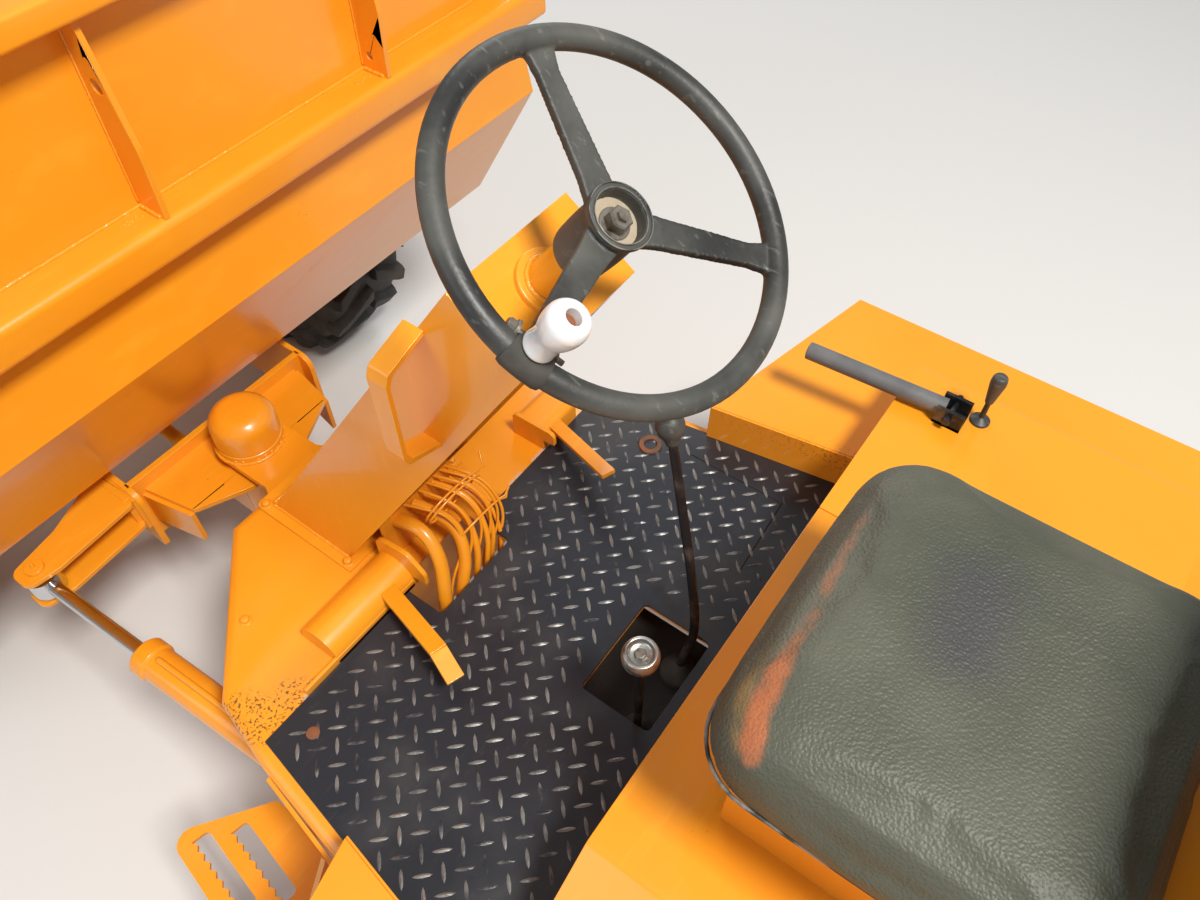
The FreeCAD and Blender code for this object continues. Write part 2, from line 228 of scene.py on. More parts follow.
def fender_paint():
    """Orange with dark specks where boots rub the inner edge."""
    blotch = noise(2.6, 4)
    edge = near_line([(0.400, -0.545, 0.79), (0.470, -0.812, 0.79)], 0.060)
    speck = noise(190.0, 3).step(0.56, 0.62) * edge
    base = colour((0.81, 0.275, 0.008), (0.88, 0.350, 0.016), blotch)
    base = colour(base, (0.07, 0.03, 0.015), speck * 0.8)
    return {"Base Color": base, "Roughness": 0.25 + 0.2 * blotch, "Coat Weight": 0.4, "Coat Roughness": 0.10,
            "height": noise(6.0, 3), "distance": 0.0014}


def black_paint():
    dust = noise(6.0, 5).step(0.45, 0.85)
    lid = near_line([(0.394, -0.548, 0.725), (0.396, -0.731, 0.725), (0.232, -0.741, 0.725)], 0.0016)
    scrape = noise(1.0, 4, at=stretched(40.0, 220.0, 60.0)).step(0.60, 0.72)
    base = colour((0.016, 0.018, 0.024), (0.060, 0.058, 0.056), dust * 0.55 + scrape * 0.25)
    base = colour(base, (0.003, 0.003, 0.004), lid)
    return {"Base Color": base, "Roughness": 0.32 + 0.28 * dust, "Coat Weight": 0.15,
            "height": noise(60.0, 3) * 0.5 + lid * -3.0, "distance": 0.0007}


def worn_tread():
    """Tops of the tread bars, rubbed grey and shiny."""
    rub = noise(26.0, 4).step(0.35, 0.62)
    return {"Base Color": colour((0.020, 0.022, 0.027), (0.30, 0.295, 0.28), rub * 0.8),
            "Metallic": rub * 0.6,
            "Roughness": 0.30 + 0.15 * rub, "height": noise(300.0, 2), "distance": 0.0002}


def tyre_rubber():
    dust = noise(9.0, 5).step(0.4, 0.8)
    crest = noise(40.0, 3)
    return {"Base Color": colour((0.014, 0.014, 0.014), (0.13, 0.115, 0.090), dust * 0.6 + crest * 0.10),
            "Roughness": 0.72 + 0.15 * dust, "height": noise(120.0, 3) + noise(30.0, 2), "distance": 0.0008}


def seat_vinyl():
    pebble = pebbles(330.0)
    fade = noise(3.0, 4)
    red = near_line([(0.150, -0.903, 1.222), (0.034, -0.910, 1.224), (-0.050, -0.920, 1.224),
                     (-0.104, -0.922, 1.224), (-0.176, -0.930, 1.218), (-0.215, -0.942, 1.205)], 0.032)
    ochre = near_line([(0.039, -0.886, 1.208), (-0.063, -0.890, 1.210), (-0.137, -0.899, 1.212),
                       (-0.186, -0.912, 1.212), (-0.216, -0.926, 1.200)], 0.030)
    rubbed = noise(60.0, 3) * 0.5 + noise(9.0, 3)
    base = colour((0.050, 0.054, 0.037), (0.105, 0.108, 0.076), fade.step(0.3, 0.75))
    patch = near_line([(0.003, -1.063, 1.222), (0.067, -1.053, 1.222)], 0.075)
    base = colour(base, (0.045, 0.042, 0.050), patch * 0.7)
    base = colour(base, (0.24, 0.15, 0.055), (ochre * rubbed).step(0.28, 0.75) * 0.75)
    base = colour(base, (0.42, 0.125, 0.040), (red * rubbed).step(0.30, 0.72) * 0.85)
    base = colour(base, (0.030, 0.032, 0.024), (1.0 - pebble.step(0.10, 0.45)) * 0.15)
    return {"Base Color": base, "Roughness": 0.46 + 0.12 * fade, "height": pebble, "distance": 0.0010}


def black_grip():
    """Hard rubber worn grey on top, with fine scratches."""
    worn = noise(6.0, 5).step(0.35, 0.70)
    scratch = noise(1.0, 3, at=stretched(160.0, 30.0, 90.0)).step(0.60, 0.70)
    base = colour((0.018, 0.018, 0.017), (0.105, 0.105, 0.092), worn * 0.8)
    base = colour(base, (0.20, 0.20, 0.18), scratch * 0.30)
    return {"Base Color": base, "Roughness": 0.42 + 0.2 * worn, "height": noise(180.0, 3),
            "distance": 0.0003}


def bright_rod():
    return {"Base Color": (0.62, 0.63, 0.65, 1), "Metallic": 1.0, "Roughness": 0.10 + 0.12 * noise(30.0, 3)}


def grey_iron():
    return {"Base Color": colour((0.014, 0.014, 0.014), (0.050, 0.042, 0.035), noise(14.0, 5)),
            "Roughness": 0.6, "Metallic": 0.3, "height": noise(70.0, 4), "distance": 0.001}


def white_knob():
    return {"Base Color": colour((0.80, 0.81, 0.84), (0.70, 0.69, 0.66), noise(12.0, 3)), "Roughness": 0.16,
            "Coat Weight": 0.5, "height": noise(60.0, 2), "distance": 0.0002}


def lever_steel():
    return {"Base Color": colour((0.020, 0.020, 0.022), (0.16, 0.14, 0.12), noise(24.0, 5).step(0.45, 0.75)),
            "Roughness": 0.38, "Metallic": 0.6, "height": noise(150.0, 3), "distance": 0.0003}


def rusty_steel():
    rust = noise(18.0, 6).step(0.35, 0.65)
    return {"Base Color": colour((0.22, 0.075, 0.025), (0.060, 0.045, 0.035), rust), "Roughness": 0.7,
            "height": noise(90.0, 5), "distance": 0.001}


def worn_zinc():
    return {"Base Color": colour((0.24, 0.22, 0.19), (0.10, 0.075, 0.05), noise(60.0, 4).step(0.4, 0.7)),
            "Metallic": 0.6, "Roughness": 0.42, "height": noise(220.0, 3), "distance": 0.0002}


def sandy_disc():
    """Dusty beige washer in the hub's cup."""
    return {"Base Color": colour((0.46, 0.38, 0.27), (0.30, 0.24, 0.17), noise(90.0, 4)), "Roughness": 0.75,
            "height": noise(260.0, 3), "distance": 0.0003}


def worn_chrome():
    return {"Base Color": colour((0.50, 0.49, 0.46), (0.12, 0.10, 0.08), noise(45.0, 5).step(0.5, 0.7)),
            "Metallic": 0.9, "Roughness": 0.20 + 0.25 * noise(70.0, 3)}


def dusty_rubber():
    return {"Base Color": colour((0.065, 0.072, 0.080), (0.20, 0.20, 0.20), noise(22.0, 5)),
            "Roughness": 0.48, "height": noise(260.0, 2), "distance": 0.0002}


def worn_welt():
    return {"Base Color": colour((0.035, 0.035, 0.028), (0.24, 0.21, 0.18), noise(25.0, 4).step(0.42, 0.62)),
            "Roughness": 0.6, "height": noise(300.0, 2), "distance": 0.0002}


MAKERS = (orange_paint, black_paint, tyre_rubber, seat_vinyl, black_grip, bright_rod, grey_iron, white_knob,
          lever_steel, rusty_steel, worn_zinc, worn_welt, worn_chrome, dusty_rubber, nose_paint,
          fender_paint, worn_tread, sandy_disc)
PAINT = {maker.__name__: finish(maker.__name__, maker) for maker in MAKERS}
SLOT_OF = {row["node"]: row["material_slot"] for row in frame["record"]["subparts"]}


def dress(piece, paint):
    """Give a piece its finish and that finish's slot."""
    piece.data.materials.clear()
    piece.data.materials.append(PAINT[paint])


for name, node in NODES.items():
    dress(node, SLOT_OF[name])


# Making of meshes: sweeps, turned forms, boxes with rounded edges, bolts and weld beads
def made(name, mesh, body, slot, replaces=(), smooth=40, bevel=0.0):
    """A piece from a mesh, on its body, with its finish; smooth is the least angle of a sharp edge."""
    data = bpy.data.meshes.new(name)
    mesh.to_mesh(data)
    mesh.free()
    piece = bpy.data.objects.new(name, data)
    bpy.context.scene.collection.objects.link(piece)
    if bevel:
        edge = piece.modifiers.new("edge", "BEVEL")
        edge.width = bevel
        edge.segments = 2
        edge.limit_method = "ANGLE"
        edge.angle_limit = math.radians(35)
    soften(piece, smooth)
    dress(piece, slot)
    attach(piece, body)
    if replaces:
        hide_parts(*replaces)
    return piece


def soften(piece, degrees):
    """Smooth shading with edges kept sharp above an angle."""
    piece.data.shade_smooth()
    piece.data.set_sharp_from_angle(angle=math.radians(degrees))


def frames(path, closed=False):
    """Each point of a path with its side and up directions, without twist."""
    points = [Vector(p) for p in path]
    count = len(points)
    result = []
    side = None
    for k, point in enumerate(points):
        before = points[k - 1] if k or closed else point
        after = points[(k + 1) % count] if k < count - 1 or closed else point
        along = (after - before).normalized()
        if side is None:
            side = along.orthogonal().normalized()
        side = (side - along * side.dot(along)).normalized()
        result.append((point, side, along.cross(side)))
    return result


def turns(count):
    """Angles of a full turn in equal steps."""
    return [2 * math.pi * k / count for k in range(count)]


def sweep(mesh, path, radius, sides, closed=False):
    """Tube along a path; radius is a number, or a list with one for each point."""
    rings = []
    for k, (point, side, up) in enumerate(frames(path, closed)):
        r = radius[k] if isinstance(radius, list) else radius
        rings.append([mesh.verts.new(point + side * r * math.cos(a) + up * r * math.sin(a))
                      for a in turns(sides)])
    pairs = list(zip(rings, rings[1:])) + ([(rings[-1], rings[0])] if closed else [])
    for first, second in pairs:
        for j in range(sides):
            mesh.faces.new((first[j], first[(j + 1) % sides], second[(j + 1) % sides], second[j]))
    if not closed:
        mesh.faces.new(rings[0][::-1])
        mesh.faces.new(rings[-1])


def lathe(mesh, profile, place, sides):
    """Turned form: profile of (radius, height) about the place's z axis."""
    rings = []
    for radius, height in profile:
        if radius < 1e-6:
            rings.append([mesh.verts.new(place @ Vector((0, 0, height)))])
        else:
            circle_points = [(radius * math.cos(a), radius * math.sin(a), height) for a in turns(sides)]
            rings.append([mesh.verts.new(place @ Vector(point)) for point in circle_points])
    for first, second in zip(rings, rings[1:]):
        for j in range(sides):
            n = (j + 1) % sides
            corners = ([first[0]] if len(first) == 1 else [first[j], first[n]]) + \
                ([second[0]] if len(second) == 1 else [second[n], second[j]])
            if len(corners) > 2:
                mesh.faces.new(corners)


def rounded(points, steps=5):
    """Profile of (radius, height) points; a third value on a point rounds its corner."""
    result = []
    count = len(points)
    for k, p in enumerate(points):
        if len(p) < 3 or k in (0, count - 1):
            result.append((p[0], p[1]))
            continue
        here, before, after = (Vector(q[:2]) for q in (p, points[k - 1], points[k + 1]))
        back, ahead = (before - here), (after - here)
        cut = min(p[2], back.length * 0.49, ahead.length * 0.49)
        start, end = here + back.normalized() * cut, here + ahead.normalized() * cut
        for j in range(steps + 1):
            t = j / steps
            q = start * (1 - t) ** 2 + here * 2 * t * (1 - t) + end * t * t
            result.append((q.x, q.y))
    return result


def upright(place, direction=(0, 0, 1)):
    """Matrix that puts a turned form's z axis along a direction."""
    turn = Vector(direction).to_track_quat("Z", "Y").to_matrix().to_4x4()
    return Matrix.Translation(Vector(place)) @ turn


def crate(mesh, low, high, place=Matrix.Identity(4)):
    """Box between two corners."""
    corners = [mesh.verts.new(place @ Vector((x, y, z)))
               for x in (low[0], high[0]) for y in (low[1], high[1]) for z in (low[2], high[2])]
    for face in ((0, 1, 3, 2), (4, 6, 7, 5), (0, 4, 5, 1), (2, 3, 7, 6), (0, 2, 6, 4), (1, 5, 7, 3)):
        mesh.faces.new([corners[i] for i in face])


def bolt(mesh, place, direction, across, washer=True, stud=0.0):
    """Hexagon head on a washer, with an optional stud end."""
    stand = upright(place, direction)
    height = across * 0.62
    low = 0.002 if washer else -0.001
    if washer:
        lathe(mesh, [(0, -0.001), (across * 0.75, -0.001), (across * 0.75, 0.0016), (across * 0.72, 0.002),
                     (0, 0.002)], stand, 20)
    r = across / math.sqrt(3)
    profile = [(0, low), (r, low), (r, low + height * 0.86), (r * 0.86, low + height), (0, low + height)]
    if stud:
        s = across * 0.3
        profile = profile[:-1] + [(s, low + height), (s, low + height + stud), (0, low + height + stud)]
    lathe(mesh, profile, stand, 6)


def bead(mesh, points, width, seed, pitch=0.0032):
    """Weld bead: a flat ripple along straight runs between points."""
    luck = random.Random(seed)
    path = []
    for start, end in zip(points, points[1:]):
        start, end = Vector(start), Vector(end)
        steps = max(2, int((end - start).length / (pitch / 2)))
        path += [start.lerp(end, k / steps) for k in range(steps)]
    path.append(Vector(points[-1]))
    radius = []
    for k in range(len(path)):
        path[k] += Vector((luck.gauss(0, 1), luck.gauss(0, 1), luck.gauss(0, 1))) * width * 0.035
        radius.append(width / 2 * ((1.0 if k % 2 else 0.84) + 0.10 * luck.random()))
    radius[0] = radius[-1] = width * 0.25
    sweep(mesh, path, radius, 7)


# Steel forms drawn in millimetres: plates with holes, blocks, rods, turned, bent and carved forms
MM = 0.001
AXES = {"x": Vector((1, 0, 0)), "y": Vector((0, 1, 0)), "z": Vector((0, 0, 1))}
BOTH = (-1, 1)
SIDES = (("left", -1), ("right", 1))
ENDS = (("front", 975), ("rear", -1125))
WHEEL_MID, AXLE_Z = 670, 380


def arc(before, here, after, radius, steps=6):
    """Points of the arc that rounds a corner."""
    back, ahead = (before - here).normalized(), (after - here).normalized()
    half = back.angle(ahead) / 2
    reach = radius / math.tan(half)
    centre = here + (back + ahead).normalized() * (radius / math.sin(half))
    first, last = here + back * reach - centre, here + ahead * reach - centre
    turn = first.angle(last)
    shares = [k / steps for k in range(steps + 1)]
    return [centre + (first * math.sin((1 - t) * turn) + last * math.sin(t * turn)) / math.sin(turn)
            for t in shares]


def outline_points(outline):
    """Closed outline in 2D; a third value on a point rounds its corner."""
    flat = [Vector((p[0], p[1])) for p in outline]
    result = []
    for k, p in enumerate(outline):
        result += arc(flat[k - 1], flat[k], flat[(k + 1) % len(flat)], p[2]) if len(p) > 2 else [flat[k]]
    return result


def circle(across, up, radius, steps=28):
    return [(across + radius * math.cos(a), up + radius * math.sin(a)) for a in turns(steps)]


def mirrored(points):
    """Outline of one half, closed over the middle."""
    return points + [(-p[0], *p[1:]) for p in reversed(points)]


def plate(mesh, axis, start, thick, outline, *holes):
    """Flat plate: outline in (y, z) for x, (x, z) for y, (x, y) for z; y builds towards the rear."""
    loops = [outline_points(loop) for loop in (outline, *holes)]
    spots = {"x": lambda p, d: (start + d, *p), "y": lambda p, d: (p[0], start - d, p[1]),
             "z": lambda p, d: (*p, start + d)}
    rows = [[mesh.verts.new(Vector(spots[axis](p, depth)) * MM) for loop in loops for p in loop]
            for depth in (0, thick)]
    if holes:
        triangles = tessellate_polygon([[p.to_3d() for p in loop] for loop in loops])
    else:
        triangles = [range(len(rows[0]))]
    for row in rows:
        for corners in triangles:
            mesh.faces.new([row[i] for i in corners])
    first = 0
    for loop in loops:
        for k in range(len(loop)):
            a, b = first + k, first + (k + 1) % len(loop)
            mesh.faces.new((rows[0][a], rows[0][b], rows[1][b], rows[1][a]))
        first += len(loop)


def block(mesh, x, y, z):
    """Box between pairs of numbers."""
    crate(mesh, *(Vector(corner) * MM for corner in zip(sorted(x), sorted(y), sorted(z))))


def turned(mesh, axis, base, outline, sides=40):
    """Closed outline of (radius, along) turned about an axis through base."""
    points = [(max(p.x, 0) * MM, p.y * MM) for p in outline_points(outline)]
    along = AXES[axis] if isinstance(axis, str) else axis
    lathe(mesh, points + points[:1], upright(Vector(base) * MM, along), sides)


def rod(mesh, axis, start, length, radius, sides=28):
    turned(mesh, axis, start, [(0, 0), (radius, 0), (radius, length), (0, length)], sides)


def strut(mesh, start, end, wide, thick):
    """Flat bar between two points, with its width level."""
    first, last = Vector(start) * MM, Vector(end) * MM
    along = (last - first).normalized()
    level = Vector((0, 0, 1)).cross(along).normalized()
    place = Matrix((along, level, along.cross(level))).transposed().to_4x4()
    place.translation = first
    crate(mesh, (0, -wide / 2 * MM, 0), ((last - first).length, wide / 2 * MM, thick * MM), place)


def bent(mesh, points, bend, radius, sides=14):
    """Round bar along straight runs joined by arcs."""
    path = [Vector(p) for p in points]
    line = [path[0]]
    for before, here, after in zip(path, path[1:], path[2:]):
        line += arc(before, here, after, bend, 8)
    sweep(mesh, [p * MM for p in line + path[-1:]], radius * MM, sides)


def carved(mesh, tool):
    """The mesh with a tool's form taken out of it."""
    pieces = []
    for form in (mesh, tool):
        bmesh.ops.recalc_face_normals(form, faces=form.faces)
        data = bpy.data.meshes.new("form")
        form.to_mesh(data)
        form.free()
        pieces.append(bpy.data.objects.new("form", data))
        bpy.context.scene.collection.objects.link(pieces[-1])
    work = pieces[0].modifiers.new("carve", "BOOLEAN")
    work.operation = "DIFFERENCE"
    work.object = pieces[1]
    work.solver = "EXACT"
    result = bmesh.new()
    result.from_object(pieces[0], bpy.context.evaluated_depsgraph_get())
    for piece in pieces:
        data = piece.data
        bpy.data.objects.remove(piece)
        bpy.data.meshes.remove(data)
    return result


def forged(name, mesh, body, paint="orange_paint", replaces=(), bevel=0.0012):
    """Sheet steel or a casting from a mesh, its edges eased."""
    bmesh.ops.remove_doubles(mesh, verts=mesh.verts, dist=0.00002)
    bmesh.ops.recalc_face_normals(mesh, faces=mesh.faces)
    piece = made(name, mesh, body, paint, replaces, smooth=32, bevel=bevel)
    for edge in piece.modifiers:
        edge.harden_normals = True
    return piece


# Wheel rims: barrel with two flanges, and a dished disc with its hub
def rim(name, side, y):
    mesh = bmesh.new()
    base = (side * WHEEL_MID, y, AXLE_Z)
    rim_r, bead, well, flange = 194.5, 103, 176.5, 108
    turned(mesh, "x", base, [
        (rim_r - 8, -flange), (rim_r + 8, -flange, 3), (rim_r + 8, -bead - 0.3), (rim_r, -bead - 0.3),
        (rim_r, bead + 0.3), (rim_r + 8, bead + 0.3), (rim_r + 8, flange, 3), (rim_r - 8, flange),
        (rim_r - 8, 90, 8), (well, 70, 8), (well, -70, 8), (rim_r - 8, -90, 8)], 96)
    # columns: radius, distance outwards from the wheel's middle plane, corner
    disc = [(0, 8), (40, 8), (40, -120), (64, -120), (64, -22), (140, -22, 8), (152, 30, 8), (well, 52),
            (well, 62),
            (146, 40, 8), (133, -12, 8), (84, -12, 2), (84, 6, 3), (52, 10, 4), (46, 34, 5), (0, 38)]
    turned(mesh, "x", base, [(p[0], side * p[1], *p[2:]) for p in disc], 96)
    forged(name + "_wheel_rim", mesh, name + "_wheel", replaces=(name + "_rim",), bevel=0.0)


WHEELS = [(end + "_" + hand, side, y) for end, y in ENDS for hand, side in SIDES]
for name, side, y in WHEELS:
    rim(name, side, y)


# Axles: tube, differential, brake backplates and spindles, with a drive nose
def axle(end, axle_y, towards, frame_mid):
    """Towards is the way to the drive shaft, frame_mid the place of the frame's sides."""
    mesh = bmesh.new()
    back = 545
    half = [(0, back + 90), (39.9, back + 90), (39.9, back), (125, back), (125, back - 36, 4),
            (67, back - 50, 6), (55, back - 76, 6), (55, 150, 30), (112, 62, 40)]
    turned(mesh, "x", (0, axle_y, AXLE_Z), half + [(p[0], -p[1], *p[2:]) for p in reversed(half)], 56)
    block(mesh, (-50, 50), (axle_y + 60 * towards, axle_y + 121 * towards), (AXLE_Z - 50, AXLE_Z + 50))
    nose_y = axle_y + (60 if towards > 0 else -112)
    turned(mesh, "y", (0, nose_y, AXLE_Z), [(0, 0), (78, 0), (70, 52), (0, 52)])
    for x in (-frame_mid, frame_mid):
        block(mesh, (x - 40, x + 40), (axle_y - 50, axle_y + 50), (AXLE_Z, AXLE_Z + 60))
    forged(end + "_axle_casting", mesh, end + "_unit", replaces=(end + "_axle",))


# Frame, deck and floor: rails, centre pivot, steering ram, hood, and the plates on the rear unit
RAIL_MID, RAIL_WIDE, RAIL_LOW, RAIL_HIGH, RAIL_REAR, RAIL_FRONT = 260, 60, 440, 620, -1800, -150
PIVOT_Y, TONGUE_Z, TONGUE_T, TONGUE_LOW, PIN_BORE = 225, 605, 14, 330, 30.3
STEER_FOOT, STEER_PIN, STEER_Z = (-385, -600), (-428, 307.5), 565
HOOD_HALF, HOOD_TOP_HALF, HOOD_LOW, HOOD_HIGH, DECK_Z = 450, 295, 620, 805, 905
DECK_FRONT, DECK_REAR = -817, -1790
NOSE_Z, FLOOR_T, FLOOR_FRONT, FLOOR_REAR = 720, 5, -325, -812
SIDE_PLATE_MID = 220

for (end, axle_y), towards, frame_mid in zip(ENDS, (-1, 1), (SIDE_PLATE_MID, RAIL_MID)):
    axle(end, axle_y, towards, frame_mid)


def rear_frame():
    """Channel rails, cross members, outriggers, bumper, tongue plates, uprights and the ram's foot."""
    mesh = bmesh.new()
    inner, outer, wall = RAIL_MID - RAIL_WIDE / 2, RAIL_MID + RAIL_WIDE / 2, 8
    for side in BOTH:
        web, lip = side * outer, side * inner
        plate(mesh, "y", RAIL_FRONT, RAIL_FRONT - RAIL_REAR, [
            (web, RAIL_LOW, 6), (web, RAIL_HIGH, 6), (lip, RAIL_HIGH), (lip, RAIL_HIGH - wall),
            (web - side * wall, RAIL_HIGH - wall), (web - side * wall, RAIL_LOW + wall),
            (lip, RAIL_LOW + wall), (lip, RAIL_LOW)])
        for y in (RAIL_REAR + 60, DECK_FRONT - 103):
            block(mesh, (side * (outer - 4), side * HOOD_HALF), (y, y + 50), (HOOD_LOW - 50, HOOD_LOW))
        for y in (-780, -210):
            block(mesh, (side * 255 - 25, side * 255 + 25), (y, y + 60), (RAIL_HIGH - 4, NOSE_Z - 5))
    # columns: rear edge, length, bottom, top
    for y, deep, z0, z1 in ((RAIL_REAR, 20, RAIL_LOW, RAIL_HIGH), (-590, 50, 500, RAIL_HIGH),
                            (-400, 60, 560, 600)):
        block(mesh, (-outer + 4, outer - 4), (y, y + deep), (z0, z1))
    plate(mesh, "y", RAIL_REAR, 15, mirrored([(-420, 460, 20), (-420, 600, 20)]))
    for z in (TONGUE_Z - TONGUE_T, TONGUE_LOW):
        plate(mesh, "z", z, TONGUE_T, mirrored([(-290, RAIL_FRONT), (-110, 20), (-65, 110),
                                                (-65, PIVOT_Y + 65, 50)]),
              circle(0, PIVOT_Y, PIN_BORE))
    block(mesh, (-290, 290), (RAIL_FRONT - 60, RAIL_FRONT), (TONGUE_LOW, RAIL_HIGH))
    for x in (-100, 100):
        block(mesh, (x - 6, x + 6), (RAIL_FRONT - 10, 30), (TONGUE_LOW, TONGUE_Z - TONGUE_T))
    for z in (STEER_Z - 33, STEER_Z + 23):
        foot_x, foot_y = STEER_FOOT
        plate(mesh, "z", z, 10, [(-outer + 4, foot_y - 60), (foot_x, foot_y - 32, 25),
                                 (foot_x - 27, foot_y, 20),
                                 (foot_x, foot_y + 32, 20), (-outer + 4, foot_y + 60)])
    rod(mesh, "z", (*STEER_FOOT, STEER_Z - 33), 66, 12)
    forged("rear_frame", mesh, "rear_unit", replaces=("rear_chassis",))


rear_frame()


# Nose plate with folded edges, and the tread-plate floor on it
def floor_edge(y):
    """Half width of the floor at a place along it."""
    return 417 + 0.169 * (FLOOR_FRONT - y)


NOSE_HALF = [(-194, 8), (-414, -220), (-floor_edge(-348) - 24, -348),
             (-floor_edge(FLOOR_REAR) - 20, FLOOR_REAR)]
HOSE_SLOT = ((-110, 60), (-395, -300))
LEVER_SLOT = ((-80, 95), (-770, -648))


def drawn_in(outline, inset):
    """Convex outline with its edges moved inwards."""
    result = []
    middle = sum((Vector(p) for p in outline), Vector((0, 0))) / len(outline)
    for k, p in enumerate(outline):
        here, before, after = Vector(p), Vector(outline[k - 1]), Vector(outline[(k + 1) % len(outline)])
        back, ahead = (before - here).normalized(), (after - here).normalized()
        bisector = (back + ahead).normalized()
        if bisector.dot(middle - here) < 0:
            bisector = -bisector
        result.append(here + bisector * (inset / math.sin(back.angle(ahead) / 2)))
    return result


def nose():
    mesh = bmesh.new()
    outline = mirrored(NOSE_HALF)
    # columns: height, inset, up the outer skin, over the top and down the inner skin
    rings = [[mesh.verts.new(Vector((*p, z)) * MM) for p in drawn_in(outline, inset)] for z, inset in (
        (NOSE_Z - 46, 0), (NOSE_Z - 14, 0), (NOSE_Z - 8, 2), (NOSE_Z - 3, 8), (NOSE_Z, 18))]
    under = [[mesh.verts.new(Vector((*p, z)) * MM) for p in drawn_in(outline, inset)] for z, inset in (
        (NOSE_Z - 5, 20), (NOSE_Z - 14, 5), (NOSE_Z - 46, 5))]
    for row in (rings, under, [rings[0], under[-1]]):
        for first, second in zip(row, row[1:]):
            for k in range(len(first)):
                n = (k + 1) % len(first)
                mesh.faces.new((first[k], first[n], second[n], second[k]))
    mesh.faces.new(rings[-1])
    mesh.faces.new(under[0])
    tool = bmesh.new()
    for x, y in (HOSE_SLOT, LEVER_SLOT):
        block(tool, x, y, (NOSE_Z - 20, NOSE_Z + 5))
    block(tool, (-400, 400), (FLOOR_REAR - 5, FLOOR_REAR + 40), (NOSE_Z - 50, NOSE_Z - 5.5))
    forged("nose_sheet", carved(mesh, tool), "rear_unit", "nose_paint", ("nose_plate",))


def floor_sheet():
    mesh = bmesh.new()
    (x0, x1), (slot_y, _) = HOSE_SLOT
    (left, right), (rear, front) = LEVER_SLOT
    wide, narrow = floor_edge(FLOOR_REAR), floor_edge(FLOOR_FRONT)
    plate(mesh, "z", NOSE_Z, FLOOR_T, [
        (-narrow, FLOOR_FRONT), (x0, FLOOR_FRONT), (x0, slot_y, 8), (x1, slot_y, 8), (x1, FLOOR_FRONT),
        (narrow, FLOOR_FRONT), (wide, FLOOR_REAR), (-wide, FLOOR_REAR)],
        [(left, rear, 8), (right, rear, 8), (right, front, 8), (left, front, 8)])
    forged("floor_sheet", mesh, "rear_unit", "black_paint", ("floor_plate",), bevel=0.0008)


nose()
floor_sheet()


# Steering console: a leaning tapered box, open behind round its cover, with a grab strap on the left
COLUMN_TILT = math.radians(35.9)
COLUMN_UP = Vector((0, -math.sin(COLUMN_TILT), math.cos(COLUMN_TILT)))
COLUMN_TOP = Vector((0, -641, 1549))
COLUMN_LONG = 150
CONSOLE_TOP = COLUMN_TOP - COLUMN_UP * COLUMN_LONG


def console_half(z):
    """Half width of the console at a height."""
    return 120 - 24 * (z - NOSE_Z) / (CONSOLE_TOP.z - NOSE_Z)


def console():
    mesh = bmesh.new()
    front_top = (CONSOLE_TOP.y + 55 * COLUMN_UP.z, CONSOLE_TOP.z - 55 * COLUMN_UP.y)
    back_top = (CONSOLE_TOP.y - 55 * COLUMN_UP.z, CONSOLE_TOP.z + 55 * COLUMN_UP.y)
    section = [(-20, NOSE_Z), (-200, NOSE_Z), back_top, front_top]
    sides = [[mesh.verts.new(Vector((side * console_half(z), y, z)) * MM) for y, z in section]
             for side in BOTH]
    for row in sides:
        mesh.faces.new(row)
    for k in range(4):
        n = (k + 1) % 4
        mesh.faces.new((sides[0][k], sides[0][n], sides[1][n], sides[1][k]))
    lean = math.atan2(-200 - back_top[0], back_top[1] - NOSE_Z)
    inset = 11 / math.cos(lean)
    slope = math.tan(lean)
    tool = bmesh.new()
    plate(tool, "x", -90, 180, [(-230, NOSE_Z + 70), (-200 + inset - slope * 70, NOSE_Z + 70),
                                (back_top[0] + inset + slope * 40, back_top[1] - 40),
                                (back_top[0] - 30, back_top[1] - 40)])
    body = carved(mesh, tool)
    plate(body, "z", NOSE_Z, 6, [(-140, 4, 12), (140, 4, 12), (140, -222), (-140, -222)])
    block(body, (-84, 72), (-262, -256), (NOSE_Z, 838))
    low, high, out = console_half(1206), console_half(1386), console_half(1386) + 62
    plate(body, "y", -441, 28, [
        (-low + 1, 1203), (-out + 6, 1222, 8), (-out, 1236, 8), (-out, 1356, 8), (-out + 6, 1370, 8),
        (-high + 1, 1389),
        (-high + 1, 1382), (-out + 12, 1364, 5), (-out + 6, 1352, 5), (-out + 6, 1240, 5),
        (-out + 12, 1228, 5),
        (-low + 1, 1210)])
    forged("console_box", body, "rear_unit", replaces=("console",))
    column = bmesh.new()
    foot = -COLUMN_LONG
    turned(column, COLUMN_UP, COLUMN_TOP, [(0, foot), (35, foot), (35, foot + 8, 2), (23, foot + 8),
                                           (23, -69),
                                           (28, -65, 3), (28, -45, 3), (10, -45), (10, -16), (0, -16)], 48)
    forged("column_tube", column, "rear_unit", replaces=("steering_column",), bevel=0.0)


console()


